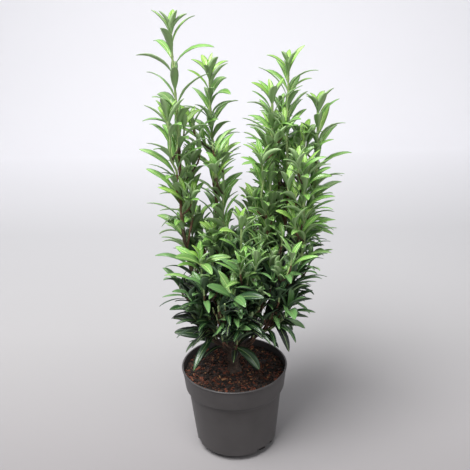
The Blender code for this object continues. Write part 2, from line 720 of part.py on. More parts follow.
def grow_crown():
    """Every mass's stems and leaves by the seeded rule: stems, then twigs, then leaves in their own space."""
    masses = [name for name in SHOOTS if SHOOTS[name][0] == name]
    members = {mass: [name for name in SHOOTS if SHOOTS[name][0] == mass] for mass in masses}
    stems = {mass: [leafy_path(name) for name in members[mass]] for mass in masses}
    limbs = [(sampled(bough_path(mass), BOUGH_STEP), limb_radius(mass, SOIL_TOP)) for mass in masses]
    limbs.append((np.array([trunk_axis(SOIL_TOP), trunk_axis(SOIL_TOP + TRUNK_HEIGHT)]), TRUNK_NECK_RADIUS))
    twigs = {name: grow_twigs(name, stems, limbs) for name in SHOOTS}
    spaces = {mass: stems[mass] + [twig for name in members[mass] for twig in twigs[name]] for mass in masses}
    crown = {}
    for mass in masses:
        tubes, groups = [], []
        for name in members[mass]:
            chance = random.Random("leaves " + name)
            path = leafy_path(name)
            tubes.append((path, [limb_radius(name, height) for height in path[:, 2]]))
            first = LEAF_FIRST if name == mass else LEAF_FIRST_SIDE
            groups.append(leaves_along(chance, path, first, 1.0, CROWN_LEAVES))
            for twig in twigs[name]:
                tubes.append((twig, list(np.linspace(TWIG_FOOT_RADIUS, TWIG_TIP_RADIUS, len(twig)))))
                groups.append(leaves_along(chance, twig, LEAF_FIRST_TWIG, TWIG_LEAF_SHARE, CROWN_LEAVES - 1))
        crown[mass] = (tubes, grow_leaves(mass, groups, spaces, limbs))
    return crown


def make_mass(mass, green, tubes, leaves):
    """A mass of foliage: its stems, twigs and leaves fused into one solid."""
    name = "foliage_" + mass
    meshes = []
    for path, radii in tubes:
        first = None if meshes else joint_of(mass)[1]
        corners, faces = tube(path, radii, TWIG_SIDES, pointed=True, first=first)
        meshes.append(mesh_from(name, corners, faces))
    base = add_object(name, meshes[0], material("leaves_" + mass, green, 0.45))
    parts = [bpy.data.objects.new(name + "_twig", mesh) for mesh in meshes[1:]]
    parts += [leaf_solid(name + "_leaf", axis, side, length) for axis, side, length in leaves]
    fuse(base, parts)
    keep_one_body(base)


def main():
    """Clears the scene and builds the pot, the soil, the limbs and the masses of foliage."""
    for old in list(bpy.data.objects):
        bpy.data.objects.remove(old)
    make_pot()
    make_soil()
    bark = material("trunk_bark", BARK_BROWN, 0.85)
    add_trunk("trunk", bark, 0.0)
    clearance = add_trunk("trunk_clearance", bark, SEAT)
    crown = grow_crown()
    for mass in crown:
        make_bough(mass, clearance)
    bpy.data.objects.remove(clearance)
    for index, (mass, (tubes, leaves)) in enumerate(crown.items()):
        make_mass(mass, LEAF_GREENS[index % len(LEAF_GREENS)], tubes, leaves)


main()
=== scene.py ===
"""The looks of a potted cherry laurel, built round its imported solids.

Metres, +Z up. The pot's flat underside is centred on the origin, +X is right and -Y is the front.
The growth rule grows the same shoots and leaves as the solids have, and then finer ones within their reach.
"""
import functools
import math
import random

import bpy
import numpy as np
from mathutils import Matrix, Vector


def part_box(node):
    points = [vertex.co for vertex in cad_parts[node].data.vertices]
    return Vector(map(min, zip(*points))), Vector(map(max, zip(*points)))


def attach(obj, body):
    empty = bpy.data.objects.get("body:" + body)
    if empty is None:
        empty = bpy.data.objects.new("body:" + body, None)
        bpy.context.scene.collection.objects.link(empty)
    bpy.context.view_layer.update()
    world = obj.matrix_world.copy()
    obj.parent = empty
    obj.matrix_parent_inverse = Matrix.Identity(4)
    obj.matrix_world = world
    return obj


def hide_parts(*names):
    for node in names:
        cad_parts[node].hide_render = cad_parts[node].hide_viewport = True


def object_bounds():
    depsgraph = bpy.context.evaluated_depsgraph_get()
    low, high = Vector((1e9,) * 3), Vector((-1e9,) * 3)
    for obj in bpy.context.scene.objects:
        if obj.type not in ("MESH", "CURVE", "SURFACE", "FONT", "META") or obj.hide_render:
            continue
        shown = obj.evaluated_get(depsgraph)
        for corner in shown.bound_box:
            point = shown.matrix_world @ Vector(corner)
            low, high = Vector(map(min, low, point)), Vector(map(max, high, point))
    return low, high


bl_info = {
    "name": "Potted laurel",
    "version": (1, 0, 0),
    "blender": (4, 5, 0),
    "location": "View3D > Sidebar > Laurel",
    "description": "Dresses a packed potted laurel with its pot, mulch, bark, stems and leaves",
    "category": "Add Mesh",
}

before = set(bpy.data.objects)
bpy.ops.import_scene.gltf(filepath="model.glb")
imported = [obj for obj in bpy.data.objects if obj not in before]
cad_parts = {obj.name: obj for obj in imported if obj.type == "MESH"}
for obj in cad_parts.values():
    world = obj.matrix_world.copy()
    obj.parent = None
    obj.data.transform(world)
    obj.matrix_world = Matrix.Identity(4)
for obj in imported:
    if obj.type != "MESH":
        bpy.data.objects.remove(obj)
CAD_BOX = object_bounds()
MM = 0.001

# The gap that touching solids keep between them
SEAT = 0.3 * MM

# Heights and a radius that the growth rule shares with the solids
POT_HEIGHT = 0.137
POT_BAND_RADIUS = 0.0775
SOIL_TOP = 0.125

# Trunk: from its flat cut on the soil to its fork
TRUNK_HEIGHT = 0.048
TRUNK_FLARE_RADIUS = 13 * MM
TRUNK_NECK_RADIUS = 8.5 * MM
TRUNK_TOP_RADIUS = 6.0 * MM
TRUNK_NECK_AT = 0.22
TRUNK_FLARE_POWER = 1.7
TRUNK_LEAN = (-0.004, 0.002)

# Limbs: radii of a shoot's stem at its foot and at its tip, and of a side twig
LIMB_FOOT_RADIUS = 1.7 * MM
LIMB_FOOT_SWELL = 3.4 * MM
LIMB_TIP_RADIUS = 1.3 * MM
TWIG_FOOT_RADIUS = 1.5 * MM
TWIG_TIP_RADIUS = 1.0 * MM

# How far apart the points on the axes of boughs, of stems and of every path are, how far below its leafy stem
# a bough's evenly spaced points end, the length over which a path's direction is taken, and its slow sway
BOUGH_STEP = 10 * MM
BOUGH_SHORT = 1.0 * MM
STEM_STEP = 26 * MM
PATH_STEP = 2 * MM
PATH_FEWEST = 12
PATH_LOOK = 4 * MM
SWAY = 3.0 * MM
SWAY_WAVES = (1.2, 2.2)

# Leaves: long and narrow, one at a time round the stem, each a golden turn on from the last
LEAF_LENGTH = 0.064
LEAF_LENGTH_RANGE = (0.86, 1.12)
LEAF_YOUNG_SHARE = 0.52
LEAF_YOUNG_SHARE_LOW = 0.84
LEAF_YOUNG_REACH = 15 * MM
LEAF_WIDTH_SHARE = 0.28
LEAF_WIDEST_AT = 0.5
LEAF_STEPS = 8
LEAF_SPACING = 9.5 * MM
LEAF_SPACING_LOW = 7.5 * MM
LEAF_DENSE_FROM = 0.31
LEAF_SPACING_RANGE = (0.8, 1.2)
LEAF_TURN = math.radians(137.5)
LEAF_TURN_JITTER = 0.2
LEAF_ROLL = 0.30
LEAF_LEAN_SHARE = 0.5

# A leaf's slope at its root and at its tip, and what youth and a low place add to each
LEAF_RISE = math.radians(74)
LEAF_RISE_YOUNG = math.radians(8)
LEAF_RISE_JITTER = 0.15
LEAF_DROOP = math.radians(-3)
LEAF_DROOP_YOUNG = math.radians(40)
LEAF_DROOP_JITTER = 0.36
LEAF_LOW_FROM = 0.32
LEAF_LOW_DEPTH = 0.12
LEAF_LOW_RISE = math.radians(-16)
LEAF_LOW_DROOP = math.radians(-12)
LEAF_HANGING_SHARE = 0.05
LEAF_HANGING_FALL = math.radians(45)

# Where a stem's first leaf stands, and the crown of young leaves at its tip
LEAF_FIRST = 4 * MM
LEAF_FIRST_SIDE = 15 * MM
LEAF_FIRST_TWIG = 12 * MM
CROWN_LEAVES = 5
CROWN_REACH = 9 * MM

# Side twigs on the lower part of a stem
TWIG_REACH = (0.028, 0.048)
TWIG_SPREAD = 0.7
TWIG_LEAF_SHARE = 0.85
TWIG_ZONE_FROM = 0.04
TWIG_ZONE = 0.55
TWIG_PLACES = (0.2, 0.8)
TWIG_POINTS = 4
TWIG_TRIES = 6
TWIG_CHECK_STEP = 8 * MM

# A leaf keeps this far from the spaces of the other masses, from limbs, other leaves and the pot. Only its
# outer part, past an inner share, has to be clear of stems and leaves of its own mass
SPACE_MARGIN = 1.0 * MM
LIMB_MARGIN = 1.5 * MM
LEAF_MARGIN = 4.0 * MM
LEAF_INNER_SHARE = 0.34
POT_MARGIN = 3.0 * MM

# How far a finer leaf may reach past the solids' box
REACH_MARGIN = 1.5 * MM

# Each turn, lift and share that a leaf tries in order, when its first place isn't free
LEAF_TRIES = (
    (0.0, 0.0, 1.0),
    (0.45, 0.0, 1.0),
    (-0.45, 0.0, 1.0),
    (0.0, 0.35, 0.9),
    (0.8, 0.15, 0.9),
    (-0.8, 0.15, 0.9),
    (0.0, 0.5, 0.75),
)

# The finer growth: leaves and twigs between the solids' own, most of them low in the crown
FINE_FIRST = 9 * MM
FINE_SHARE = 0.9
FINE_MARGIN = 1.5 * MM
FINE_CROWN = 2
FINE_MOST = 0.75
FINE_FULL_HEIGHT = 0.30
FINE_FADE_HEIGHT = 0.24
FINE_LEAST = 0.12
FINE_TWIGS = 8

# Thickets, where the shoots stand so close that the crown is shut: each lies between two places to the left
# and right and between two heights. Each of its shoots has so many finer twigs more, of which those stay
# that end where the thicket has more than its least share
THICKETS = ((-0.072, -0.012, 0.385, 0.515), (0.048, 0.125, 0.29, 0.50))
THICKET_FADE_HEIGHT = 0.05
THICKET_TWIGS = 7
THICKET_LEAST = 0.5

# The crown's left and right edges, at heights, past which only this share of the finer growth stays, and
# how much further out they are behind a place
LEFT_EDGE = ((0.20, 0.24, 0.32, 0.38), (-0.024, -0.034, -0.036, -0.066))
RIGHT_EDGE = ((0.20, 0.24, 0.29, 0.34, 0.40), (0.030, 0.052, 0.090, 0.105, 0.125))
FINE_EDGE_SHARE = 0.12
BACK_FROM = 0.03
BACK_SPREAD = 0.018

# The skirt: old leaves, darkened by the low crown's painted shade, that hang from the foot of each leafy
# stem, more of them behind than in front
SKIRT_REACH = 0.045
SKIRT_SPACING = 3.2 * MM
SKIRT_FRONT_SHARE = 0.06
SKIRT_TURN = 1.2
SKIRT_RISE = (math.radians(-5), math.radians(50))
SKIRT_DROOP = (math.radians(-65), math.radians(-15))
SKIRT_LENGTH = (0.038, 0.058)

# Fine twigs on the upper part of each bough
BOUGH_TWIGS = 7
BOUGH_TWIGS_FROM = 0.152
BOUGH_TWIG_REACH = (0.024, 0.036)

# Low leaders whose crowns spread wide: the twig that the leader ends in, and each broad leaf's bearing, its
# slope at its root and at its tip, in degrees, its length and the number of its tone
SPREAD_WHORLS = {
    "front_low": ((-0.001, -0.009, 0.006), (
        (202, 52, 24, 0.052, 3), (150, 58, 30, 0.046, 2), (95, 62, 34, 0.044, 2),
        (338, 44, 8, 0.052, 4), (308, 26, -32, 0.044, 3), (278, 12, -55, 0.040, 3))),
    "front_left": ((-0.002, -0.004, 0.004), (
        (210, 50, 10, 0.048, 2), (150, 60, 30, 0.044, 1), (80, 62, 34, 0.042, 1), (350, 46, 4, 0.046, 2),
        (285, 30, -25, 0.044, 2))),
}

# Single broad leaves on a bare bough: each one's height on it, then as in a whorl
LONE_LEAVES = {
    "front_low": ((0.192, 333, 1, -69, 0.055, 4),),
    "left_low": ((0.178, 180, 28, -4, 0.067, 4),),
}

# How far a broad leaf of a whorl turns its face to the front, the turns and lifts that it tries, and the
# least that it keeps from every other leaf and limb
SPREAD_FACING = 0.8
SPREAD_POINTS = 4
SPREAD_TURNS = (0.0, 0.2, -0.2)
SPREAD_LIFTS = (0.0, -0.2, 0.2)
SPREAD_MARGIN = 0.8 * MM

# The tightly folded newest leaves at each shoot's tip: how far below it the first stands, how far apart they
# are, how far chance turns them, and their slopes
FURLED_LEAVES = 3
FURLED_LENGTH = (0.014, 0.022)
FURLED_FIRST = 1.5 * MM
FURLED_SPACING = 1.0 * MM
FURLED_TURN = 1.0
FURLED_RISE = math.radians(84)
FURLED_DROOP = math.radians(72)

# Shoots by name: the mass each belongs to, where it starts (a height on the trunk, or on the leader
# of its mass), its tip, how soon it turns upright, the height where its leaves begin, its side twigs
SHOOTS = {
    "tall_left": ("tall_left", 0.156, (-0.069, 0.000, 0.632), 5.0, 0.215, 1),
    "tall_left_side": ("tall_left", 0.400, (-0.078, -0.022, 0.522), 1.6, 0.400, 0),
    "tall_left_inner": ("tall_left", 0.330, (-0.050, 0.024, 0.452), 1.6, 0.330, 0),
    "tall_left_low": ("tall_left", 0.265, (-0.060, 0.044, 0.350), 1.6, 0.265, 0),
    "left_low": ("left_low", 0.150, (-0.058, 0.006, 0.295), 2.6, 0.180, 2),
    "left_low_side": ("left_low", 0.190, (-0.052, -0.024, 0.262), 1.5, 0.190, 0),
    "back_left": ("back_left", 0.156, (-0.024, 0.058, 0.570), 4.0, 0.190, 1),
    "back_left_low": ("back_left", 0.225, (-0.050, 0.078, 0.345), 1.6, 0.225, 0),
    "centre": ("centre", 0.173, (-0.008, 0.002, 0.460), 1.5, 0.195, 2),
    "centre_low": ("centre", 0.225, (-0.030, -0.020, 0.335), 1.6, 0.225, 0),
    "back_right": ("back_right", 0.150, (0.087, 0.056, 0.577), 4.0, 0.188, 1),
    "back_right_side": ("back_right", 0.345, (0.068, 0.066, 0.490), 1.6, 0.345, 0),
    "back_right_low": ("back_right", 0.225, (0.062, 0.082, 0.350), 1.6, 0.225, 0),
    "inner_right": ("inner_right", 0.158, (0.062, 0.004, 0.540), 3.2, 0.200, 2),
    "inner_right_low": ("inner_right", 0.215, (0.058, -0.028, 0.315), 2.0, 0.215, 0),
    "inner_right_side": ("inner_right", 0.230, (0.028, 0.020, 0.345), 1.6, 0.230, 0),
    "inner_right_top": ("inner_right", 0.330, (0.046, -0.016, 0.462), 1.6, 0.330, 0),
    "far_right": ("far_right", 0.140, (0.127, 0.036, 0.522), 2.6, 0.185, 1),
    "far_right_side": ("far_right", 0.320, (0.100, 0.014, 0.450), 1.6, 0.320, 0),
    "far_right_back": ("far_right", 0.205, (0.100, 0.082, 0.345), 2.6, 0.205, 0),
    "front_right": ("front_right", 0.156, (0.104, -0.032, 0.448), 3.4, 0.190, 2),
    "front_right_low": ("front_right", 0.196, (0.080, -0.058, 0.256), 1.4, 0.196, 0),
    "front_right_side": ("front_right", 0.200, (0.070, -0.050, 0.300), 1.6, 0.200, 0),
    "front_centre": ("front_centre", 0.163, (0.017, -0.042, 0.376), 2.6, 0.200, 2),
    "front_centre_low": ("front_centre", 0.208, (0.042, -0.062, 0.280), 1.6, 0.208, 0),
    "front_left": ("front_left", 0.152, (-0.040, -0.046, 0.322), 3.0, 0.194, 2),
    "front_left_low": ("front_left", 0.200, (-0.058, -0.040, 0.244), 1.5, 0.200, 0),
    "front_left_side": ("front_left", 0.204, (-0.018, -0.046, 0.288), 1.6, 0.204, 0),
    "front_low": ("front_low", 0.145, (0.004, -0.064, 0.278), 2.6, 0.208, 0),
    "front_low_left": ("front_low", 0.214, (-0.016, -0.052, 0.258), 1.5, 0.214, 0),
    "front_low_right": ("front_low", 0.212, (0.026, -0.064, 0.246), 1.5, 0.212, 0),
    "back_low": ("back_low", 0.158, (0.030, 0.080, 0.372), 3.0, 0.185, 1),
    "back_low_left": ("back_low", 0.196, (-0.022, 0.100, 0.318), 2.0, 0.196, 0),
    "back_low_right": ("back_low", 0.200, (0.052, 0.064, 0.300), 1.8, 0.200, 0),
}
MASSES = [name for name in SHOOTS if SHOOTS[name][0] == name]

# The camera, as the photograph was taken: its turn, its look down and its tilt, its place and its lens
CAMERA_YAW = math.radians(-1.317)
CAMERA_PITCH = math.radians(20.856)
CAMERA_ROLL = math.radians(1.655)
CAMERA_PLACE = (0.02728, -0.89671, 0.6926)
CAMERA_SENSOR = 36.0
CAMERA_LENS = 50.77

# Where a visible leaf's rings stand along it, and the share of it that is stalk
STATIONS = (0.0, 0.09, 0.16, 0.27, 0.40, 0.54, 0.68, 0.80, 0.90, 0.965, 1.0)
STALK_SHARE = 0.09

# Where a leaf's ring has its points across it, the last of them under the midrib, and what the face after
# each point is: 0 blade, 1 midrib and stalk, 2 underside
RING_ACROSS = (-1.0, -0.5, 0.0, 0.0, 0.5, 1.0, 0.0)
RING_KINDS = (0, 0, 1, 0, 0, 2, 2)

# The blade's half-width has a factor and two powers. Its edges ripple, its midrib narrows towards the tip and
# takes up no more than a share of it, and the blade is thinner where it is narrow
BLADE_FACTOR = 2.93
BLADE_FOOT_POWER = 0.8
BLADE_TIP_POWER = 0.75
BLADE_RIPPLE = 0.05
BLADE_RIPPLES = 16.0
STALK_END = 0.95
RIB_TAPER = 0.7
RIB_MOST = 0.4
KEEL_SPAN = 0.1
KEEL_LEAST = 0.55

# How far leaves differ by chance in their twist, their sideways sweep, their width and their fold, and the
# least bend of a midrib, by which its formula divides
BLADE_TWIST = 0.25
BLADE_SWEEP = 0.03
BLADE_WIDTHS = (0.9, 1.1)
BLADE_FOLDS = 0.06
BEND_LEAST = 0.01

# Below this height a crown's leaves are broader and other leaves slimmer, in full at this depth below it
WIDTH_LOW_FROM = 0.34
WIDTH_LOW_DEPTH = 0.10

# The tones of the leaves' upper faces, from the newest at a shoot's tip to the oldest, the darkest two being
# old green darkened as painted shade, and how many of them have young undersides and midribs
TONES = ("tip", "young", "fresh", "grown", "deep", "shade")
YOUNG_TONES = 3

# Each tone's roughness and coat: the newest leaves are soft, grown ones glossy, shaded ones dull with dust.
# Then the roughness of the undersides and of the midribs
GLOSSES = {"tip": (0.40, 0.30), "young": (0.36, 0.45), "fresh": (0.34, 0.55), "grown": (0.32, 0.65),
           "deep": (0.38, 0.35), "shade": (0.50, 0.12)}
UNDER_ROUGHNESS = 0.62
RIB_ROUGHNESS = 0.5

# How far below its tip a leader, a side shoot and a twig turn from green to red and from red to brown
LEADER_AGES = (0.15, 0.27)
SHOOT_AGES = (0.08, 0.18)
TWIG_AGES = (0.010, 0.024)

# The age of a crown of leaves on a leader, on a side shoot, on a twig and on a finer twig, and how much
# younger twigs are high in the crown
CROWN_AGES = (0.4, 1.0, 2.2, 3.0)
HIGH_YOUTH = 0.75
HIGH_FROM = 0.28
HIGH_DEPTH = 0.10

# Painted shade low in the crown, added to a leaf's age to darken its tone: one for each step below a height,
# up to a most, and more in a crown
SHADE_TONE_FROM = 0.337
SHADE_TONE_STEP = 0.039
SHADE_TONE_MOST = 3.9
SHADE_TONE_CROWN = 1.1

# The age of a leaf along a stem: at the tip, for each rank, and one for each such length below the tip. Then
# the most that it comes to, what a high place takes off that and what each rank adds to it
STEM_AGE = 0.9
STEM_RANK_AGE = 0.4
STEM_AGE_LENGTH = 0.08
STEM_MOST = 2.4
STEM_MOST_HIGH = 0.5
STEM_MOST_RANK = 0.25

# How far chance makes a leaf's age differ, and how much lighter it may be by chance for each step of painted
# shade
AGE_CHANCE = 0.7
SHADE_TONE_CHANCE = 0.25

# The pot's mesh: its sides, its sharp edges, and its pairs of drain slots with a rib between each two
POT_SIDES = 288
POT_SHARP = math.radians(38)
SLOT_PAIRS = 3
SLOT_BEARING = math.radians(-44)
SLOT_HALF = math.radians(15.0)
SLOT_RIB_HALF = math.radians(1.4)
SLOT_BACK_SLANT = 0.12 * MM
SLOT_SILL_SLANT = 0.05 * MM

# Where the points of the pot's section stand on its chamfer, its taper, the step under its rim band and the
# band, as shares of the way across and up
CHAMFER_SHARES = (0.25, 0.5, 0.75, 0.93)
TAPER_SHARES = (0.0, 0.012, 0.035, 0.05, 0.1, 0.2, 0.35, 0.5, 0.65, 0.8, 0.92, 0.985, 1.0)
STEP_SHARES = ((0.03, 0.45), (0.12, 0.72), (0.38, 0.87), (0.78, 0.955), (0.96, 0.99), (1.0, 1.05))
BAND_SHARES = (0.12, 0.3, 0.5, 0.7, 0.88, 1.0)
LIP_POINTS = 8

# The pot's underside, from its middle to the ring that it stands on: each point's share of the foot's radius,
# how many millimetres it lies further out and how many above the table
UNDERSIDE = ((0.0, 0.0, 0.6), (0.30, 0.0, 0.6), (0.80, 0.0, 0.5), (1.0, -3.4, 0.4), (1.0, -2.6, 0.0),
             (1.0, 0.0, 0.0), (1.0, 0.8, 0.25))

# How far the section's bends are drawn out along it
BEND = 0.5 * MM
BEND_SHORT = 0.4 * MM

# The soil's mesh, how far its side goes in and down, and the level ground round the trunk
SOIL_RINGS = 56
SOIL_SIDES = 180
SOIL_FOOT_SHARE = 0.97
SOIL_DEPTH = 0.012
SOIL_LEVEL_RADIUS = 0.016
SOIL_LEVEL_FADE = 0.02

# Waves by their seed, how many they are, and their longest and shortest: the soil's lumps and its crumbs with
# the share of each, and the lumps of the trunk's bark
SOIL_LUMPS = (5, 9, 0.050, 0.018)
SOIL_LUMP_SHARE = 0.6
SOIL_CRUMBS = (6, 12, 0.014, 0.006)
SOIL_CRUMB_SHARE = 0.4
BARK_LUMPS = (8, 10, 0.9, 0.25)
BARK_LUMP_SHARE = 0.6

# Bark chips: where they lie, as shares of the soil's area, how their sizes and tilts spread, their width as a
# share of their length, how their corners are skewed, how high they lie and the share of each colour
CHIP_SEED = 17
CHIP_EDGE = 2.0 * MM
CHIP_AREA = (0.012, 1.0)
CHIP_LENGTHS = 0.42
CHIP_WIDTHS = (0.3, 0.65)
CHIP_THICKNESSES = 0.35
CHIP_SKEW = (0.55, 1.0)
CHIP_TILT = 0.3
CHIP_LIFT = (0.1, 1.6)
CHIP_MIX = {"chip_dark": 0.40, "chip_brown": 0.34, "chip_red": 0.21, "chip_pale": 0.05}

# The trunk's mesh and bark: its root lobes, and coarse and fine ridges that wander as they go up
TRUNK_RINGS = 70
TRUNK_SIDES = 72
TRUNK_RING_POWER = 1.2
TRUNK_SUNK = 1.0 * MM
LOBES = 5
LOBE_TURN = 0.7
LOBE_HEIGHT = 2.2 * MM
RIDGE_WANDER = 0.5
RIDGE_BENDS = 7.0
RIDGES_COARSE = 4.5
RIDGES_FINE = 8.5
RIDGES_FINE_TURN = 2.0
RIDGES_FINE_SHARE = 0.5
RIDGE_LEVEL = 0.7
BARK_LUMP_STRETCH = 3.0

# The boughs' mesh and bark: the collar's reach, two winding ridges (how many round, how fast they wind and
# their turn), and rings an uneven way apart
BOUGH_SIDES = 20
BOUGH_KNOTS = 4.0 * MM
BOUGH_RINGS = 1.2 * MM
COLLAR_REACH = 7.0 * MM
BOUGH_RIDGES = ((3, 60.0, 0.0), (5, -90.0, 1.3))
BOUGH_RIDGE_HEIGHT = 0.09 * MM
BOUGH_RING_HEIGHT = 0.12 * MM
BOUGH_RING_PACE = 700.0
BOUGH_RING_SWING = 3.0
BOUGH_RING_SWAY = 190.0

# The stems' mesh, and how far the swelling under a leaf reaches
STEM_SIDES = 9
STEM_RINGS = 2.2 * MM
KNUCKLE_REACH = 1.6 * MM

# Noise patterns by their waves in a metre and their detail, and reliefs by their strength and their depth
POT_PATCHES = (26.0, 4.0)
POT_GRAIN = (2600.0, 2.0)
POT_RELIEF = (0.22, 0.1 * MM)
PEAT_GRAIN = (420.0, 6.0)
PEAT_RELIEF = (0.8, 1.0 * MM)
CHIP_GRAIN = (1500.0, 3.0)
CHIP_RELIEF = (0.5, 0.3 * MM)
BARK_RELIEF = (0.6, 0.5 * MM)
VEIN_RELIEF = (0.35, 0.12 * MM)

# A leaf's side veins: how many up its blade, and how steeply they slant forward
VEINS = 11
VEIN_SLANT = -0.16

# Waves in a metre of the grain of the trunk's, the boughs' and the stems' bark, how far grain and lenticels
# are stretched along each axis, their detail and their shares, and how pale the palest bark is
TRUNK_GRAIN = 240.0
BOUGH_GRAIN = 320.0
STEM_GRAIN = 500.0
GRAIN_STRETCH = (1.0, 1.0, 0.25)
GRAIN_DETAIL = 5.0
GRAIN_SHARE = 0.55
MARK_STRETCH = (0.45, 0.45, 2.2)
MARK_DETAIL = 2.0
MARK_SHARE = 0.45
MARK_SCALE = 1.4
BARK_STOPS = (0.38, 0.52, 0.64)
BARK_PALE = (1.5, 0.01)

# Roughness of the finishes
COAT_ROUGHNESS = 0.22
POT_ROUGHNESS = 0.45
POT_ROUGHNESSES = (0.38, 0.56)
PEAT_ROUGHNESS = 0.92
CHIP_ROUGHNESS = 0.82
BARK_ROUGHNESS = 0.72
STAGE_ROUGHNESS = 0.9

# The pot's dusty patches by their places on the pattern, its darkest and dustiest plastic, and the painted
# shade under its rim band: where it begins and is full below the band, its strength and how dark it is
POT_STOPS = (0.32, 0.52, 0.72)
POT_DARK = 0.86
POT_DUST = (0.92, 0.008)
UNDER_BAND_SHADE_FROM = 6.0 * MM
UNDER_BAND_SHADE_FULL = 1.5 * MM
UNDER_BAND_SHADE_SHARE = 0.6
UNDER_BAND_SHADE_DARK = 0.2

# The peat's darkest, its own and its brownest colour on the pattern, and how dark the darkest is
PEAT_STOPS = (0.35, 0.55, 0.75)
PEAT_DARK = 0.4

# The stage: the floor's front edge, how far back it turns up and how round, its width and the backdrop's
# height, and the way along which its tones run, with each tone's place on it
STAGE_FRONT = -8.0
STAGE_DEPTH = 1.9
STAGE_ROUND = 1.0
STAGE_BENDS = 24
STAGE_WIDTH = 14.0
STAGE_HEIGHT = 3.4
STAGE_RUN = (-0.25, 2.15)
STAGE_STOPS = (0.0, 0.25, 0.5, 0.9)

# Each light's place, what it looks at and its size, and the colour of the even light all round
LIGHTS = {
    "key": ((-0.6, -0.8, 2.3), (0.0, 0.0, 0.3), 1.4),
    "fill": ((1.6, -1.5, 1.0), (0.0, 0.0, 0.3), 1.6),
    "wash": ((0.0, 1.5, 2.9), (0.0, 3.2, 0.5), 2.4),
}
SURROUND = (0.95, 0.97, 1.0, 1.0)


def shade(*channels):
    """A screen colour as linear light: c / 12.92 near black, ((c + 0.055) / 1.055) ** 2.4 above it."""
    shares = [value / 255 for value in channels]
    return tuple(s / 12.92 if s <= 0.04045 else ((s + 0.055) / 1.055) ** 2.4 for s in shares)


def colour_prop(name, description, *channels):
    """A colour that the sidebar shows, with its default as a screen colour."""
    return bpy.props.FloatVectorProperty(name=name, description=description, subtype="COLOR", size=3,
                                         min=0.0, max=1.0, default=shade(*channels))


def length_prop(name, description, default):
    """A length that the sidebar shows, in metres."""
    return bpy.props.FloatProperty(name=name, description=description, unit="LENGTH", precision=4,
                                   min=0.0, default=default)


def share_prop(name, description, default):
    """A share that the sidebar shows."""
    return bpy.props.FloatProperty(name=name, description=description, subtype="FACTOR",
                                   min=0.0, max=2.0, default=default)


def power_prop(name, description, default):
    """A light's power that the sidebar shows, in watts."""
    return bpy.props.FloatProperty(name=name, description=description, unit="POWER", min=0.0, default=default)


class LaurelPot(bpy.types.PropertyGroup):
    """Sizes of the nursery pot's fine shape."""

    rim_radius: length_prop("Rim radius", "Outer radius of the pot's lip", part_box("pot")[1].x)
    height: length_prop("Height", "From the table to the top of the lip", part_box("pot")[1].z)
    wall: length_prop("Wall", "Thickness of the plastic", 1.5 * MM)
    lip_reach: length_prop("Lip reach", "How far the lip stands out of the rim band", 1.2 * MM)
    lip_height: length_prop("Lip height", "Height of the rolled lip", 2.2 * MM)
    band_radius: length_prop("Band radius", "Outer radius at the foot of the rim band", POT_BAND_RADIUS)
    band_foot: length_prop("Band foot", "Height of the rim band's lower edge", 0.104)
    shoulder_radius: length_prop("Shoulder radius", "Outer radius under the rim band", 0.0720)
    shoulder_foot: length_prop("Shoulder foot", "Height where the long taper begins", 0.093)
    chamfer_radius: length_prop("Chamfer radius", "Outer radius at the top of the foot's chamfer", 0.0635)
    chamfer_height: length_prop("Chamfer height", "Height of the foot's chamfer", 0.010)
    foot_radius: length_prop("Foot radius", "Radius of the flat underside", 0.0525)
    drain_depth: length_prop("Drain depth", "How far a drain slot runs in from the foot", 12 * MM)
    drain_height: length_prop("Drain height", "How high a drain slot rises up the wall", 14 * MM)


class LaurelMulch(bpy.types.PropertyGroup):
    """The bark mulch on the pot's soil."""

    relief: length_prop("Relief", "Height of the soil's bumps", 1.6 * MM)
    chips: bpy.props.IntProperty(name="Chips", description="How many bark chips lie on the soil",
                                 min=0, default=2600)
    chip_length: length_prop("Chip length", "Length of a middling chip", 4.2 * MM)
    chip_thickness: length_prop("Chip thickness", "Thickness of a middling chip", 1.0 * MM)


class LaurelLeaf(bpy.types.PropertyGroup):
    """Sizes of a leaf's blade."""

    width: share_prop("Width", "A leaf's widest width as a share of its length", 0.185)
    low_width: share_prop("Low width", "How much wider the newest leaves low in the crown are", 0.30)
    young_width: share_prop("Young width", "How much wider for their length the newest leaves are", 0.28)
    old_slim: share_prop("Old slimness", "How much slimmer old leaves low in the crown are", 0.16)
    petiole: length_prop("Stalk", "Half the width of a leaf's stalk", 0.8 * MM)
    midrib: length_prop("Midrib", "Half the width of the midrib at the blade's foot", 0.55 * MM)
    thickness: length_prop("Thickness", "Depth of the blade under its midrib", 0.9 * MM)
    fold: share_prop("Fold", "How steeply the halves of a grown blade rise from the midrib", 0.22)
    young_fold: share_prop("Young fold", "What youth adds to the fold", 0.45)
    bulge: share_prop("Bulge", "How far each half of the blade arches", 0.10)
    curl: share_prop("Curl", "How far the edges turn down", 0.10)


class LaurelBark(bpy.types.PropertyGroup):
    """Relief of the trunk, the boughs and the stems."""

    ridges: length_prop("Ridges", "Height of the trunk's ridges", 0.55 * MM)
    collar: share_prop("Collar", "How much a bough swells where it leaves the trunk", 0.55)
    knuckle: share_prop("Knuckle", "How much a stem swells under each leaf", 0.32)


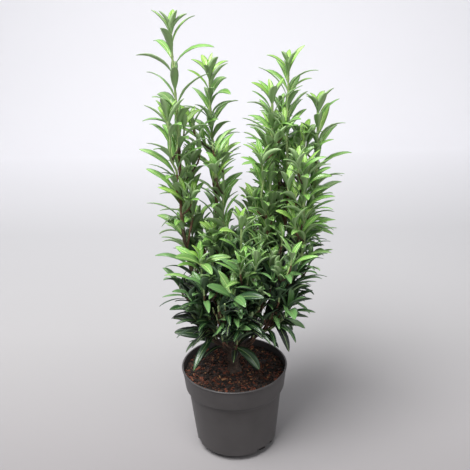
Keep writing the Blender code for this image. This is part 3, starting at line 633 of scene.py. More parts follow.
class LaurelColours(bpy.types.PropertyGroup):
    """Colours of every finish."""

    tip: colour_prop("Tip leaves", "The newest leaves, at a shoot's tip", 130, 172, 74)
    young: colour_prop("Young leaves", "Leaves just below the tip", 110, 158, 72)
    fresh: colour_prop("Fresh leaves", "This season's leaves", 112, 153, 80)
    grown: colour_prop("Grown leaves", "Last season's leaves", 94, 135, 77)
    # Deep and shaded leaves: old leaves' green, darkened as painted shade for the low inner crown
    deep: colour_prop("Deep leaves", "Older leaves", 38, 67, 36)
    shade: colour_prop("Shaded leaves", "The oldest leaves, low in the crown", 11, 23, 13)
    under_young: colour_prop("Young undersides", "Undersides of the upper leaves", 152, 179, 128)
    under_old: colour_prop("Old undersides", "Undersides of the lower leaves", 72, 96, 68)
    rib_young: colour_prop("Young midribs", "Midribs and stalks of the upper leaves", 182, 200, 128)
    rib_old: colour_prop("Old midribs", "Midribs and stalks of the lower leaves", 120, 146, 88)
    stem_green: colour_prop("Green stems", "The youngest lengths of stem", 140, 158, 104)
    stem_red: colour_prop("Ripening stems", "Lengths of stem that turn to wood", 104, 72, 54)
    stem_brown: colour_prop("Brown stems", "Woody lengths of stem", 74, 58, 44)
    bark: colour_prop("Bark", "Trunk and boughs", 62, 47, 37)
    bark_dark: colour_prop("Bark grooves", "Grooves of the bark", 30, 23, 18)
    pot: colour_prop("Pot", "The pot's plastic", 66, 63, 63)
    peat: colour_prop("Peat", "The soil between the chips", 20, 14, 10)
    chip_dark: colour_prop("Dark chips", "Moist bark chips", 28, 19, 14)
    chip_brown: colour_prop("Brown chips", "Bark chips", 58, 35, 23)
    chip_red: colour_prop("Red chips", "The reddest chips", 98, 48, 27)
    chip_pale: colour_prop("Pale chips", "Dry wood chips", 138, 98, 64)


class LaurelStage(bpy.types.PropertyGroup):
    """The plain stage round the plant."""

    floor: colour_prop("Floor", "The floor in front of the pot", 128, 124, 125)
    middle: colour_prop("Floor behind", "The floor just behind the pot", 168, 166, 167)
    foot: colour_prop("Wall's foot", "Where the floor runs up into the backdrop", 186, 185, 187)
    wall: colour_prop("Backdrop", "The backdrop behind the plant", 236, 235, 239)
    key: power_prop("Key", "Power of the high soft light", 100.0)
    fill: power_prop("Fill", "Power of the low soft light", 13.0)
    wash: power_prop("Wash", "Power of the light over the backdrop", 18.0)
    sky: bpy.props.FloatProperty(name="Surround", description="Strength of the even light all round",
                                 min=0.0, default=0.36)


# Growth rule, as the solids have it

def unit(vector):
    """The vector at length one."""
    return vector / np.linalg.norm(vector)


def clamp(value, least=0.0, most=1.0):
    """A value held between a least and a most."""
    return min(max(value, least), most)


def trunk_axis(height):
    """A point on the trunk's leaning axis at a height above the table."""
    share = (height - SOIL_TOP) / TRUNK_HEIGHT
    return np.array([TRUNK_LEAN[0] * share, TRUNK_LEAN[1] * share, height])


@functools.lru_cache(maxsize=None)
def shoot_path(name):
    """Points along a shoot's axis, a short step apart: it leaves its parent at an angle and turns upright.

    The sideways share of the way is 1 - (1 - t) ** upright, where t is the share of the height,
    and a slow seeded sway is added that is nothing at both ends.
    """
    mass, start, tip, upright, _, _ = SHOOTS[name]
    if name == mass:
        foot = trunk_axis(start)
    else:
        leader = shoot_path(mass)
        foot = leader[np.argmin(np.abs(leader[:, 2] - start))]
    tip = np.array(tip)
    count = max(PATH_FEWEST, int((tip[2] - foot[2]) / PATH_STEP))
    share = np.linspace(0.0, 1.0, count)[:, None]
    out = 1.0 - (1.0 - share) ** upright
    path = foot + (tip - foot) * np.concatenate([out, out, share], axis=1)
    chance = random.Random("sway " + name)
    fade = 4.0 * share[:, 0] * (1.0 - share[:, 0])
    for axis in (0, 1):
        waves = chance.uniform(*SWAY_WAVES)
        phase = chance.uniform(0.0, 2.0 * math.pi)
        path[:, axis] += SWAY * fade * np.sin(2.0 * math.pi * waves * share[:, 0] + phase)
    return path


def run_lengths(path):
    """The length along a path up to each of its points."""
    return np.concatenate([[0.0], np.cumsum(np.linalg.norm(np.diff(path, axis=0), axis=1))])


def place_on(path, lengths, at):
    """The point on a path at a length."""
    return np.array([np.interp(at, lengths, path[:, axis]) for axis in range(3)])


def point_along(path, lengths, at):
    """The point on a path at a length, and the path's direction there."""
    ahead = place_on(path, lengths, at + PATH_LOOK) - place_on(path, lengths, at - PATH_LOOK)
    return place_on(path, lengths, at), unit(ahead)


def sampled(path, step):
    """The path with its points a step apart, both ends kept."""
    lengths = run_lengths(path)
    count = max(2, int(round(lengths[-1] / step)) + 1)
    places = np.linspace(0.0, lengths[-1], count)
    return np.stack([np.interp(places, lengths, path[:, axis]) for axis in range(3)], axis=1)


def limb_radius(name, height):
    """A shoot's radius at a height: an even taper from its foot to its tip."""
    mass, start, tip, _, _, _ = SHOOTS[name]
    share = np.clip((height - start) / (tip[2] - start), 0.0, 1.0)
    foot = LIMB_FOOT_RADIUS
    if name == mass:
        foot += LIMB_FOOT_SWELL * (tip[2] - start)
    return foot + (LIMB_TIP_RADIUS - foot) * share


def leaf_plane(stem_direction, turn):
    """The outward and the upward direction of the upright plane that a leaf of a bearing arches in."""
    bearing = np.array([math.cos(turn), math.sin(turn), 0.0])
    outward = unit(bearing - stem_direction * (bearing @ stem_direction) * LEAF_LEAN_SHARE)
    upward = unit(stem_direction + np.array([0.0, 0.0, 1.0]))
    return outward, unit(upward - outward * (upward @ outward))


def leaf_frame(leaf):
    """A leaf's axis from its root to its tip, and its sideways direction.

    A leaf lies in the upright plane of its bearing. Its slope falls evenly from its rise at the root
    to its droop at the tip, so its axis is an arc, which the stem's own lean tips in part.
    """
    outward, upward = leaf_plane(leaf["direction"], leaf["turn"])
    shares = (np.arange(LEAF_STEPS) + 0.5) / LEAF_STEPS
    slopes = leaf["rise"] + (leaf["droop"] - leaf["rise"]) * shares
    step = leaf["length"] / LEAF_STEPS
    moves = (np.cos(slopes)[:, None] * outward + np.sin(slopes)[:, None] * upward) * step
    axis = np.concatenate([leaf["root"][None], leaf["root"] + np.cumsum(moves, axis=0)])
    side = np.cross(outward, upward)
    return axis, unit(math.cos(leaf["roll"]) * side + math.sin(leaf["roll"]) * upward)


def leaf_row(chance, root, direction, turn, below, share, crown):
    """Draws one leaf's numbers. Young ones near the tip are short and upright, old ones arch over."""
    young = math.exp(-below / LEAF_YOUNG_REACH)
    low = clamp((LEAF_LOW_FROM - root[2]) / LEAF_LOW_DEPTH)
    young_share = LEAF_YOUNG_SHARE + (LEAF_YOUNG_SHARE_LOW - LEAF_YOUNG_SHARE) * low
    length = LEAF_LENGTH * share * (1.0 - (1.0 - young_share) * young)
    length *= chance.uniform(*LEAF_LENGTH_RANGE)
    low *= 1.0 - young
    rise = LEAF_RISE + LEAF_RISE_YOUNG * young + LEAF_LOW_RISE * low
    rise += chance.uniform(-LEAF_RISE_JITTER, LEAF_RISE_JITTER)
    droop = LEAF_DROOP + LEAF_DROOP_YOUNG * young + LEAF_LOW_DROOP * low
    droop += chance.uniform(-LEAF_DROOP_JITTER, LEAF_DROOP_JITTER)
    if chance.random() < LEAF_HANGING_SHARE:
        rise -= LEAF_HANGING_FALL * low
        droop -= LEAF_HANGING_FALL * low
    return {"root": root, "direction": direction, "turn": turn, "rise": rise, "droop": droop,
            "length": length, "roll": chance.uniform(-LEAF_ROLL, LEAF_ROLL), "crown": crown, "below": below}


def leaves_along(chance, path, first, share, crown):
    """Leaves round a path from a length to its tip, each a golden turn on from the last, then its crown."""
    lengths = run_lengths(path)
    total = lengths[-1]
    rows = []
    turn = chance.uniform(0.0, 2.0 * math.pi)
    at = first
    while at < total - CROWN_REACH:
        point, direction = point_along(path, lengths, at)
        wobble = chance.uniform(-LEAF_TURN_JITTER, LEAF_TURN_JITTER)
        rows.append(leaf_row(chance, point, direction, turn + wobble, total - at, share, False))
        turn += LEAF_TURN
        low = clamp((LEAF_DENSE_FROM - point[2]) / LEAF_LOW_DEPTH)
        spacing = LEAF_SPACING + (LEAF_SPACING_LOW - LEAF_SPACING) * low
        at += spacing * chance.uniform(*LEAF_SPACING_RANGE)
    for index in range(crown):
        at = total - CROWN_REACH * (1.0 - (index + 0.5) / crown)
        point, direction = point_along(path, lengths, at)
        rows.append(leaf_row(chance, point, direction, turn, total - at, share, True))
        turn += LEAF_TURN
    return rows


def shoots_of(mass):
    """The names of the shoots that belong to a mass."""
    return [name for name in SHOOTS if SHOOTS[name][0] == mass]


def leafy_path(name):
    """The part of a shoot's axis that carries leaves, as the straight pieces of its stem."""
    mass, _, _, _, leaves_from, _ = SHOOTS[name]
    path = shoot_path(name)
    if name == mass:
        path = path[path[:, 2] >= leaves_from]
    return sampled(path, STEM_STEP)


def twig_path(root, turn, reach):
    """A side twig's axis: it leaves its stem at an angle and turns upright."""
    out = np.array([math.cos(turn), math.sin(turn), 0.0])
    share = np.linspace(0.0, 1.0, TWIG_POINTS)[:, None]
    return root + reach * (out * TWIG_SPREAD * (1.0 - (1.0 - share) ** 2) + np.array([0.0, 0.0, 1.0]) * share)


def find_twig(root, turn, reach, mass, stems, limbs):
    """The first of a few twigs, each a golden turn on from the last, that fits its mass's space, or none."""
    for tried in range(TWIG_TRIES):
        twig = twig_path(root, turn + tried * LEAF_TURN, reach)
        if in_own_space(sampled(twig, TWIG_CHECK_STEP)[2:], mass, stems, limbs):
            return twig
    return None


def grow_twigs(name, count, seed, stems, limbs, zone=TWIG_ZONE):
    """Side twigs up the lower part of a shoot, where they fit its mass's space."""
    path = leafy_path(name)
    lengths = run_lengths(path)
    chance = random.Random(seed + name)
    twigs = []
    for index in range(count):
        at = lengths[-1] * (TWIG_ZONE_FROM + zone * (index + chance.uniform(*TWIG_PLACES)) / count)
        turn = chance.uniform(0.0, 2.0 * math.pi)
        reach = chance.uniform(*TWIG_REACH)
        twigs.append(find_twig(place_on(path, lengths, at), turn, reach, SHOOTS[name][0], stems, limbs))
    return [twig for twig in twigs if twig is not None]


def moved(leaf, turn, lift, share):
    """A leaf's numbers after a turn, a lift and a share of its length."""
    return {**leaf, "turn": leaf["turn"] + turn, "rise": leaf["rise"] + lift, "droop": leaf["droop"] + lift,
            "length": leaf["length"] * share}


def leaf_samples(leaf):
    """Points over a leaf from a little past its root, along its axis and then along each of its edges.

    Its width rises evenly to the widest place and falls evenly to the tip.
    """
    axis, side = leaf_frame(leaf)
    shares = np.arange(1, LEAF_STEPS + 1) / LEAF_STEPS
    widths = np.minimum(shares / LEAF_WIDEST_AT, (1.0 - shares) / (1.0 - LEAF_WIDEST_AT))
    half = 0.5 * leaf["length"] * LEAF_WIDTH_SHARE * widths
    middle = axis[1:]
    return np.concatenate([middle, middle + side * half[:, None], middle - side * half[:, None]])


def outer_part(samples):
    """Those of a leaf's samples that lie on its outer part, past its inner share."""
    shares = np.arange(1, LEAF_STEPS + 1) / LEAF_STEPS
    return samples[np.tile(shares > LEAF_INNER_SHARE, 3)]


def distance_to(points, path):
    """The least distance of each point from a path's straight pieces."""
    start, end = path[:-1], path[1:]
    along = end - start
    share = np.einsum("pij,ij->pi", points[:, None] - start[None], along)
    share = np.clip(share / np.einsum("ij,ij->i", along, along), 0.0, 1.0)
    nearest = start[None] + share[..., None] * along[None]
    return np.linalg.norm(points[:, None] - nearest, axis=2).min(axis=1)


def in_own_space(points, mass, stems, limbs):
    """Whether all the points are nearer to their own mass's stems than to others, clear of limbs and pot."""
    own = np.min([distance_to(points, path) for path in stems[mass]], axis=0)
    for other, paths in stems.items():
        if other != mass:
            for path in paths:
                if (distance_to(points, path) - own).min() < 2.0 * SPACE_MARGIN:
                    return False
    for path, radius in limbs:
        if distance_to(points, path).min() < radius + LIMB_MARGIN:
            return False
    near_rim = np.hypot(points[:, 0], points[:, 1]) > POT_BAND_RADIUS - 2.0 * POT_MARGIN
    over_soil = points[:, 2].min() > SOIL_TOP + POT_MARGIN
    return bool(over_soil and (points[near_rim, 2] > POT_HEIGHT + POT_MARGIN).all())


def within_reach(points):
    """Whether all the points stay inside the solids' box, or hardly past it."""
    low, high = np.array(CAD_BOX[0]) - REACH_MARGIN, np.array(CAD_BOX[1]) + REACH_MARGIN
    return bool((points > low).all() and (points < high).all())


def least_gap(points, others):
    """The least distance between any of some points and any of some others."""
    return np.linalg.norm(points[:, None] - others[None], axis=2).min()


def joint_of(mass):
    """Where a mass's leafy stem meets its bough, and the direction there."""
    path = shoot_path(mass)
    index = int(np.argmax(path[:, 2] >= SHOOTS[mass][4]))
    return path[index], unit(path[index + 1] - path[index - 1])


def bough_path(mass):
    """The bare part of a mass's leader, from the trunk to just below its leafy stem."""
    path = shoot_path(mass)
    joint, direction = joint_of(mass)
    bare = path[path[:, 2] < joint[2] - BOUGH_SHORT]
    return np.concatenate([bare, [joint - direction * SEAT]])


def edge_share(place):
    """The share of finer growth that stays at a place: little past the crown's edges, wider apart behind."""
    wider = BACK_SPREAD if place[1] > BACK_FROM else 0.0
    left, right = np.interp(place[2], *LEFT_EDGE), np.interp(place[2], *RIGHT_EDGE)
    return 1.0 if left - wider < place[0] < right + wider else FINE_EDGE_SHARE


def thicket_share(place):
    """The share of finer growth in a thicket: all of it between its two heights, less and less above."""
    shares = [(top - place[2]) / THICKET_FADE_HEIGHT + 1.0 for left, right, foot, top in THICKETS
              if left < place[0] < right and place[2] > foot]
    return clamp(max(shares, default=0.0))


class Growth:
    """A mass of foliage as it grows: its shoots, its leaves, and the places that its leaves have taken."""

    def __init__(self, mass, stems, spaces, limbs):
        self.mass, self.stems, self.spaces, self.limbs = mass, stems, spaces, limbs
        self.shoots, self.leaves, self.taken = [], [], []

    def meets_own(self, outer, margin):
        """Whether a leaf's outer part would touch a stem or another leaf of its own mass."""
        if min(distance_to(outer, path).min() for path in self.spaces[self.mass]) < 2.0 * LIMB_MARGIN:
            return True
        return bool(self.taken) and least_gap(outer, np.concatenate(self.taken)) < margin

    def settle(self, rows, margin, rank):
        """Gives each row of leaves of a rank the first free place that it finds in its mass's own space."""
        for row in rows:
            for tried in LEAF_TRIES:
                leaf = moved(row, *tried)
                samples = leaf_samples(leaf)
                if not in_own_space(samples, self.mass, self.spaces, self.limbs):
                    continue
                if margin < LEAF_MARGIN and not within_reach(samples):
                    continue
                outer = outer_part(samples)
                if not row["crown"] and self.meets_own(outer, margin):
                    continue
                self.leaves.append({**leaf, "rank": rank})
                self.taken.append(outer)
                break

    def leaf_twig(self, chance, twig, share, margin, rank):
        """Adds a twig and settles the leaves round it."""
        self.shoots.append((None, twig))
        self.settle(leaves_along(chance, twig, LEAF_FIRST_TWIG, share, CROWN_LEAVES - 1), margin, rank)

    def grow_shoot(self, name, twigs):
        """Leaves round a shoot and round its side twigs, as the solids have them."""
        chance = random.Random("leaves " + name)
        path = leafy_path(name)
        self.shoots.append((name, path))
        first, rank = (LEAF_FIRST, 0) if name == self.mass else (LEAF_FIRST_SIDE, 1)
        self.settle(leaves_along(chance, path, first, 1.0, CROWN_LEAVES), LEAF_MARGIN, rank)
        for twig in twigs:
            self.leaf_twig(chance, twig, TWIG_LEAF_SHARE, LEAF_MARGIN, 2)

    def grow_finer(self, name):
        """Finer growth on one shoot: more leaves, thinning out with height, and more twigs low down."""
        chance = random.Random("finer " + name)
        path = leafy_path(name)
        rows = []
        for row in leaves_along(chance, path, FINE_FIRST, FINE_SHARE, FINE_CROWN):
            low = 1.0 - (row["root"][2] - FINE_FULL_HEIGHT) / FINE_FADE_HEIGHT
            share = max(clamp(low, FINE_LEAST, FINE_MOST), thicket_share(row["root"]))
            if chance.random() < edge_share(row["root"]) * share:
                rows.append(row)
        self.settle(rows, FINE_MARGIN, 1)
        foot, tip = path[0][2], SHOOTS[name][2][2]
        zone = min((FINE_FULL_HEIGHT - foot) / (tip - foot), TWIG_ZONE)
        twigs = []
        if zone > 0.0:
            twigs += grow_twigs(name, FINE_TWIGS, "finer twigs ", self.stems, self.limbs, zone)
        upper = grow_twigs(name, THICKET_TWIGS, "thicket ", self.stems, self.limbs, 1.0)
        twigs += [twig for twig in upper if thicket_share(twig[-1]) > THICKET_LEAST]
        for twig in twigs:
            if chance.random() < edge_share(twig[-1]):
                self.leaf_twig(chance, twig, FINE_SHARE, FINE_MARGIN, 3)

    def grow_low(self):
        """Fine twigs with old leaves on the upper part of the mass's bough, where they find room."""
        path = bough_path(self.mass)
        path = path[path[:, 2] > BOUGH_TWIGS_FROM]
        chance = random.Random("low twigs " + self.mass)
        for index in range(BOUGH_TWIGS):
            root = path[int(len(path) * (index + chance.random()) / BOUGH_TWIGS)]
            turn, reach = chance.uniform(0.0, 2.0 * math.pi), chance.uniform(*BOUGH_TWIG_REACH)
            twig = find_twig(root, turn, reach, self.mass, self.stems, self.limbs)
            if twig is not None:
                self.leaf_twig(chance, twig, FINE_SHARE, FINE_MARGIN, 3)


def skirt_rows(mass):
    """Old leaves that hang from the foot of each of a mass's leafy stems."""
    rows = []
    for name in shoots_of(mass):
        path = leafy_path(name)
        lengths = run_lengths(path)
        chance = random.Random("skirt " + name)
        for index in range(int(SKIRT_REACH / SKIRT_SPACING)):
            at = FINE_FIRST + index * SKIRT_SPACING
            if at >= lengths[-1]:
                break
            root, direction = point_along(path, lengths, at)
            outward = math.atan2(root[1] - TRUNK_LEAN[1], root[0] - TRUNK_LEAN[0])
            row = {"root": root, "direction": direction,
                   "turn": outward + chance.uniform(-SKIRT_TURN, SKIRT_TURN),
                   "rise": chance.uniform(*SKIRT_RISE), "droop": chance.uniform(*SKIRT_DROOP),
                   "length": chance.uniform(*SKIRT_LENGTH), "roll": chance.uniform(-LEAF_ROLL, LEAF_ROLL),
                   "crown": False, "below": SKIRT_REACH}
            if chance.random() < edge_share(root) * (1.0 if root[1] > 0.0 else SKIRT_FRONT_SHARE):
                rows.append(row)
    return rows


def place_broad(crown, mass, root, leaf, turns, lifts):
    """Places a broad leaf of a mass where it stands clearest of every other leaf and of the limbs."""
    bearing, rise, droop, length, tone = leaf
    turn = math.radians(bearing)
    row = {"root": root, "direction": np.array([0.0, 0.0, 1.0]), "turn": turn, "rise": math.radians(rise),
           "droop": math.radians(droop), "length": length, "roll": -SPREAD_FACING * math.cos(turn),
           "crown": True, "below": LEAF_YOUNG_REACH, "rank": 0, "tone": tone}
    others = np.concatenate([outer for growth in crown.values() for outer in growth.taken])
    most, best, taken = SPREAD_MARGIN, None, None
    for turned in turns:
        for lift in lifts:
            placed = moved(row, turned, lift, 1.0)
            outer = outer_part(leaf_samples(placed))
            to_limbs = min(distance_to(outer, path).min() - radius for path, radius in crown[mass].limbs)
            apart = min(least_gap(outer, others), to_limbs)
            if apart > most:
                most, best, taken = apart, placed, outer
    if best is None:
        raise RuntimeError("no room for a broad leaf of " + mass)
    crown[mass].leaves.append(best)
    for growth in crown.values():
        growth.taken.append(taken)


def spread_whorl(crown, mass):
    """Spreads broad leaves round the tip of a low leader, from a short twig that goes on from it."""
    reach, whorl = SPREAD_WHORLS[mass]
    twig = leafy_path(mass)[-1] + np.array(reach) * np.linspace(0.0, 1.0, SPREAD_POINTS)[:, None]
    crown[mass].shoots.append((None, twig))
    for leaf in whorl:
        place_broad(crown, mass, twig[-1], leaf, SPREAD_TURNS, SPREAD_LIFTS)


@functools.lru_cache(maxsize=None)
def grow_crown():
    """Every mass's stems and leaves by the seeded rule, and then the finer twigs and leaves between them."""
    stems = {mass: [leafy_path(name) for name in shoots_of(mass)] for mass in MASSES}
    limbs = [(sampled(bough_path(mass), BOUGH_STEP), limb_radius(mass, SOIL_TOP)) for mass in MASSES]
    limbs.append((np.array([trunk_axis(SOIL_TOP), trunk_axis(SOIL_TOP + TRUNK_HEIGHT)]), TRUNK_NECK_RADIUS))
    twigs = {name: grow_twigs(name, SHOOTS[name][5], "twigs ", stems, limbs) for name in SHOOTS}
    spaces = {mass: stems[mass] + sum((twigs[name] for name in shoots_of(mass)), []) for mass in MASSES}
    crown = {mass: Growth(mass, stems, spaces, limbs) for mass in MASSES}
    for mass, growth in crown.items():
        for name in shoots_of(mass):
            growth.grow_shoot(name, twigs[name])
    for mass in SPREAD_WHORLS:
        spread_whorl(crown, mass)
    for mass, rows in LONE_LEAVES.items():
        path = bough_path(mass)
        for height, *leaf in rows:
            place_broad(crown, mass, path[np.argmax(path[:, 2] >= height)], leaf, (0.0,), (0.0,))
    for mass, growth in crown.items():
        for name in shoots_of(mass):
            growth.grow_finer(name)
        growth.settle(skirt_rows(mass), FINE_MARGIN, 3)
        growth.grow_low()
    return crown


# Meshes

def add_piece(name, points, faces, finishes, node, kinds=None, smooth=True, maps=None):
    """A piece of the plant from arrays of points and faces, riding on the root and standing for its node."""
    mesh = bpy.data.meshes.new(name)
    mesh.from_pydata(points.tolist(), [], faces)
    for made in finishes:
        mesh.materials.append(made)
    if kinds is not None:
        mesh.polygons.foreach_set("material_index", np.asarray(kinds, dtype=np.int32))
    mesh.polygons.foreach_set("use_smooth", np.full(len(mesh.polygons), smooth))
    if maps is not None:
        corners = np.empty(len(mesh.loops), dtype=np.int32)
        mesh.loops.foreach_get("vertex_index", corners)
        layer = mesh.uv_layers.new(name="Blade")
        layer.data.foreach_set("uv", maps[corners].astype(np.float32).ravel())
    mesh.update()
    piece = bpy.data.objects.new(name, mesh)
    bpy.context.scene.collection.objects.link(piece)
    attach(piece, "root")
    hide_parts(node)
    return piece


def bearings(count):
    """So many bearings, evenly round a circle."""
    return np.arange(count) * 2 * math.pi / count


def grid_faces(rows, columns, closed=True, start=0):
    """The quads of a grid of points, row after row, whose columns may close into a ring."""
    across = np.arange(columns if closed else columns - 1)
    after = (across + 1) % columns
    base = np.arange(rows - 1)[:, None] * columns + start
    quads = np.stack([base + across, base + after, base + columns + after, base + columns + across], axis=-1)
    return quads.reshape(-1, 4).tolist()


def fan_faces(start, count, tip):
    """The triangles between a ring of points and a tip."""
    return [(start + k, start + (k + 1) % count, tip) for k in range(count)]


def lid(start, count):
    """One face over a ring of points, turned against the ring's own way."""
    return tuple(range(start, start + count))[::-1]


def ring_path(points, radii, turns, relief=None):
    """Rings of points round a path: at each of its points a circle across it, its radius plus the relief."""
    directions = np.gradient(points, axis=0)
    directions /= np.linalg.norm(directions, axis=1)[:, None]
    across = np.cross(directions, (0.0, 1.0, 0.0))
    across /= np.linalg.norm(across, axis=1)[:, None]
    up = np.cross(directions, across)
    reach = np.broadcast_to(np.asarray(radii)[:, None], (len(points), len(turns)))
    if relief is not None:
        reach = reach + relief
    around = np.cos(turns)[None, :, None] * across[:, None] + np.sin(turns)[None, :, None] * up[:, None]
    return points[:, None] + reach[..., None] * around


def smoothed(path, step):
    """A smooth line through a path's points, a step apart: each coordinate is a cubic between neighbours."""
    knots = run_lengths(path)
    slopes = np.gradient(path, knots, axis=0)
    places = np.linspace(0.0, knots[-1], max(3, int(round(knots[-1] / step)) + 1))
    index = np.clip(np.searchsorted(knots, places, side="right") - 1, 0, len(knots) - 2)
    gap = (knots[index + 1] - knots[index])[:, None]
    share = (places - knots[index])[:, None] / gap
    first = (1 + 2 * share) * (1 - share) ** 2 * path[index] + share * (1 - share) ** 2 * gap * slopes[index]
    last = share ** 2 * (3 - 2 * share) * path[index + 1]
    return first + last - share ** 2 * (1 - share) * gap * slopes[index + 1]


def waves(places, seed, count, longest, shortest):
    """Seeded smooth noise about nothing: a sum of sines of the places, each with its own way and length."""
    chance = np.random.default_rng(seed)
    total = np.zeros(places.shape[:-1])
    for _ in range(count):
        direction = chance.normal(size=places.shape[-1])
        direction /= np.linalg.norm(direction)
        wavelength = math.exp(chance.uniform(math.log(shortest), math.log(longest)))
        total += np.sin(places @ direction * 2 * math.pi / wavelength + chance.uniform(0, 2 * math.pi))
    return total / math.sqrt(count)


# Finishes

def tinted(colour, share, more=0.0):
    """A colour with each of its three values times a share, and a little more."""
    return tuple(share * value + more for value in colour)


def finish(name, colour, roughness, coat=0.0):
    """A new finish with its colour, roughness and coat set on the shader's own sockets."""
    made = bpy.data.materials.new(name)
    made.use_nodes = True
    shader = made.node_tree.nodes["Principled BSDF"]
    shader.inputs["Base Color"].default_value = (*colour, 1.0)
    shader.inputs["Roughness"].default_value = roughness
    shader.inputs["Coat Weight"].default_value = coat
    shader.inputs["Coat Roughness"].default_value = COAT_ROUGHNESS
    return made, made.node_tree, shader


def add_node(tree, kind, inputs, **settings):
    """A node of a kind with its settings and some of its inputs, where an input may be another's output."""
    made = tree.nodes.new(kind)
    for key, value in settings.items():
        setattr(made, key, value)
    for key, value in inputs.items():
        if isinstance(value, bpy.types.NodeSocket):
            tree.links.new(value, made.inputs[key])
        else:
            made.inputs[key].default_value = value
    return made


def calculate(tree, operation, *values):
    """The result of an operation on numbers or other nodes' outputs."""
    return add_node(tree, "ShaderNodeMath", dict(enumerate(values)), operation=operation).outputs[0]


def object_places(tree, stretch=(1.0, 1.0, 1.0)):
    """Object coordinates in metres, stretched along the axes."""
    places = add_node(tree, "ShaderNodeTexCoord", {}).outputs["Object"]
    return add_node(tree, "ShaderNodeMapping", {"Vector": places, "Scale": stretch}).outputs["Vector"]


def split_places(tree, places):
    """The three coordinates of places."""
    return add_node(tree, "ShaderNodeSeparateXYZ", {"Vector": places}).outputs


def noise(tree, places, scale, detail):
    """The value of a noise pattern with so many waves in a metre."""
    made = add_node(tree, "ShaderNodeTexNoise", {"Vector": places, "Scale": scale, "Detail": detail})
    return made.outputs["Fac"]


def blend_colours(tree, share, places, *colours):
    """Colours along a ramp, each at its place from 0 to 1."""
    ramp = add_node(tree, "ShaderNodeValToRGB", {"Fac": share})
    elements = ramp.color_ramp.elements
    while len(elements) < len(colours):
        elements.new(0.5)
    for element, place, colour in zip(elements, places, colours):
        element.position = place
        element.color = (*colour, 1.0)
    return ramp.outputs["Color"]


def bump(tree, shader, height, strength, distance):
    """Lifts a surface's shading by a height pattern."""
    made = add_node(tree, "ShaderNodeBump", {"Height": height, "Strength": strength, "Distance": distance})
    tree.links.new(made.outputs["Normal"], shader.inputs["Normal"])


def leaf_finish(name, colour, roughness, coat):
    """A leaf's plain colour and gloss, with side veins that slant forward from the midrib as relief."""
    made, tree, shader = finish(name, colour, roughness, coat)
    place = split_places(tree, add_node(tree, "ShaderNodeUVMap", {}, uv_map="Blade").outputs["UV"])
    off = calculate(tree, "ABSOLUTE", place["X"])
    slant = calculate(tree, "MULTIPLY_ADD", off, VEIN_SLANT, place["Y"])
    turn = calculate(tree, "MULTIPLY", slant, VEINS * 2 * math.pi)
    bump(tree, shader, calculate(tree, "SINE", turn), *VEIN_RELIEF)
    return made


def pot_finish(colours, crease):
    """Moulded grey plastic: a fine grain, faint dust in large soft patches, painted shade under the rim band.
    """
    made, tree, shader = finish("pot_plastic", colours.pot, POT_ROUGHNESS)
    places = object_places(tree)
    patches = noise(tree, places, *POT_PATCHES)
    colour = blend_colours(tree, patches, POT_STOPS, tinted(colours.pot, POT_DARK), colours.pot,
                           tinted(colours.pot, *POT_DUST))
    height = split_places(tree, places)["Z"]
    # Painted shade: the plastic is darkened in a strip just under the rim band, where the band overhangs it
    near = add_node(tree, "ShaderNodeMapRange",
                    {0: height, 1: crease - UNDER_BAND_SHADE_FROM, 2: crease - UNDER_BAND_SHADE_FULL}).outputs["Result"]
    under = calculate(tree, "LESS_THAN", height, crease)
    share = calculate(tree, "MULTIPLY", calculate(tree, "MULTIPLY", near, under), UNDER_BAND_SHADE_SHARE)
    painted_shade = (*tinted(colours.pot, UNDER_BAND_SHADE_DARK), 1.0)
    colour = add_node(tree, "ShaderNodeMix", {0: share, 6: colour, 7: painted_shade}, data_type="RGBA").outputs[2]
    tree.links.new(colour, shader.inputs["Base Color"])
    low, high = POT_ROUGHNESSES
    gloss = add_node(tree, "ShaderNodeMapRange", {0: patches, 3: low, 4: high}).outputs["Result"]
    tree.links.new(gloss, shader.inputs["Roughness"])
    bump(tree, shader, noise(tree, places, *POT_GRAIN), *POT_RELIEF)
    return made


def peat_finish(colours):
    """Moist peat between the chips: dark, crumbly and dull."""
    made, tree, shader = finish("peat", colours.peat, PEAT_ROUGHNESS)
    grain = noise(tree, object_places(tree), *PEAT_GRAIN)
    colour = blend_colours(tree, grain, PEAT_STOPS, tinted(colours.peat, PEAT_DARK), colours.peat,
                           colours.chip_brown)
    tree.links.new(colour, shader.inputs["Base Color"])
    bump(tree, shader, grain, *PEAT_RELIEF)
    return made


def chip_finish(name, colour):
    """A bark chip's plain colour with a fibrous relief."""
    made, tree, shader = finish(name, colour, CHIP_ROUGHNESS)
    bump(tree, shader, noise(tree, object_places(tree), *CHIP_GRAIN), *CHIP_RELIEF)
    return made


def bark_finish(name, light, dark, scale):
    """Thin bark: a fine lengthwise grain of two browns, with paler lenticels across it."""
    made, tree, shader = finish(name, light, BARK_ROUGHNESS)
    grain = noise(tree, object_places(tree, GRAIN_STRETCH), scale, GRAIN_DETAIL)
    marks = noise(tree, object_places(tree, MARK_STRETCH), scale * MARK_SCALE, MARK_DETAIL)
    marked = calculate(tree, "MULTIPLY_ADD", marks, MARK_SHARE, 0.0)
    value = calculate(tree, "MULTIPLY_ADD", grain, GRAIN_SHARE, marked)
    colour = blend_colours(tree, value, BARK_STOPS, dark, light, tinted(light, *BARK_PALE))
    tree.links.new(colour, shader.inputs["Base Color"])
    bump(tree, shader, value, *BARK_RELIEF)
    return made


def stage_finish(settings):
    """One plain matt surface whose tone runs from the floor's over the wall's foot to the backdrop's."""
    made, tree, shader = finish("stage", settings.floor, STAGE_ROUGHNESS)
    back = split_places(tree, object_places(tree))["Y"]
    near, far = STAGE_RUN
    share = add_node(tree, "ShaderNodeMapRange", {0: back, 1: near, 2: far}).outputs["Result"]
    colour = blend_colours(tree, share, STAGE_STOPS, settings.floor, settings.middle, settings.foot,
                           settings.wall)
    tree.links.new(colour, shader.inputs["Base Color"])
    return made


# Pieces

def between(start, end, shares):
    """Points of a section from a start to an end, at shares of the way."""
    return [(start[0] + share * (end[0] - start[0]), start[1] + share * (end[1] - start[1]))
            for share in shares]


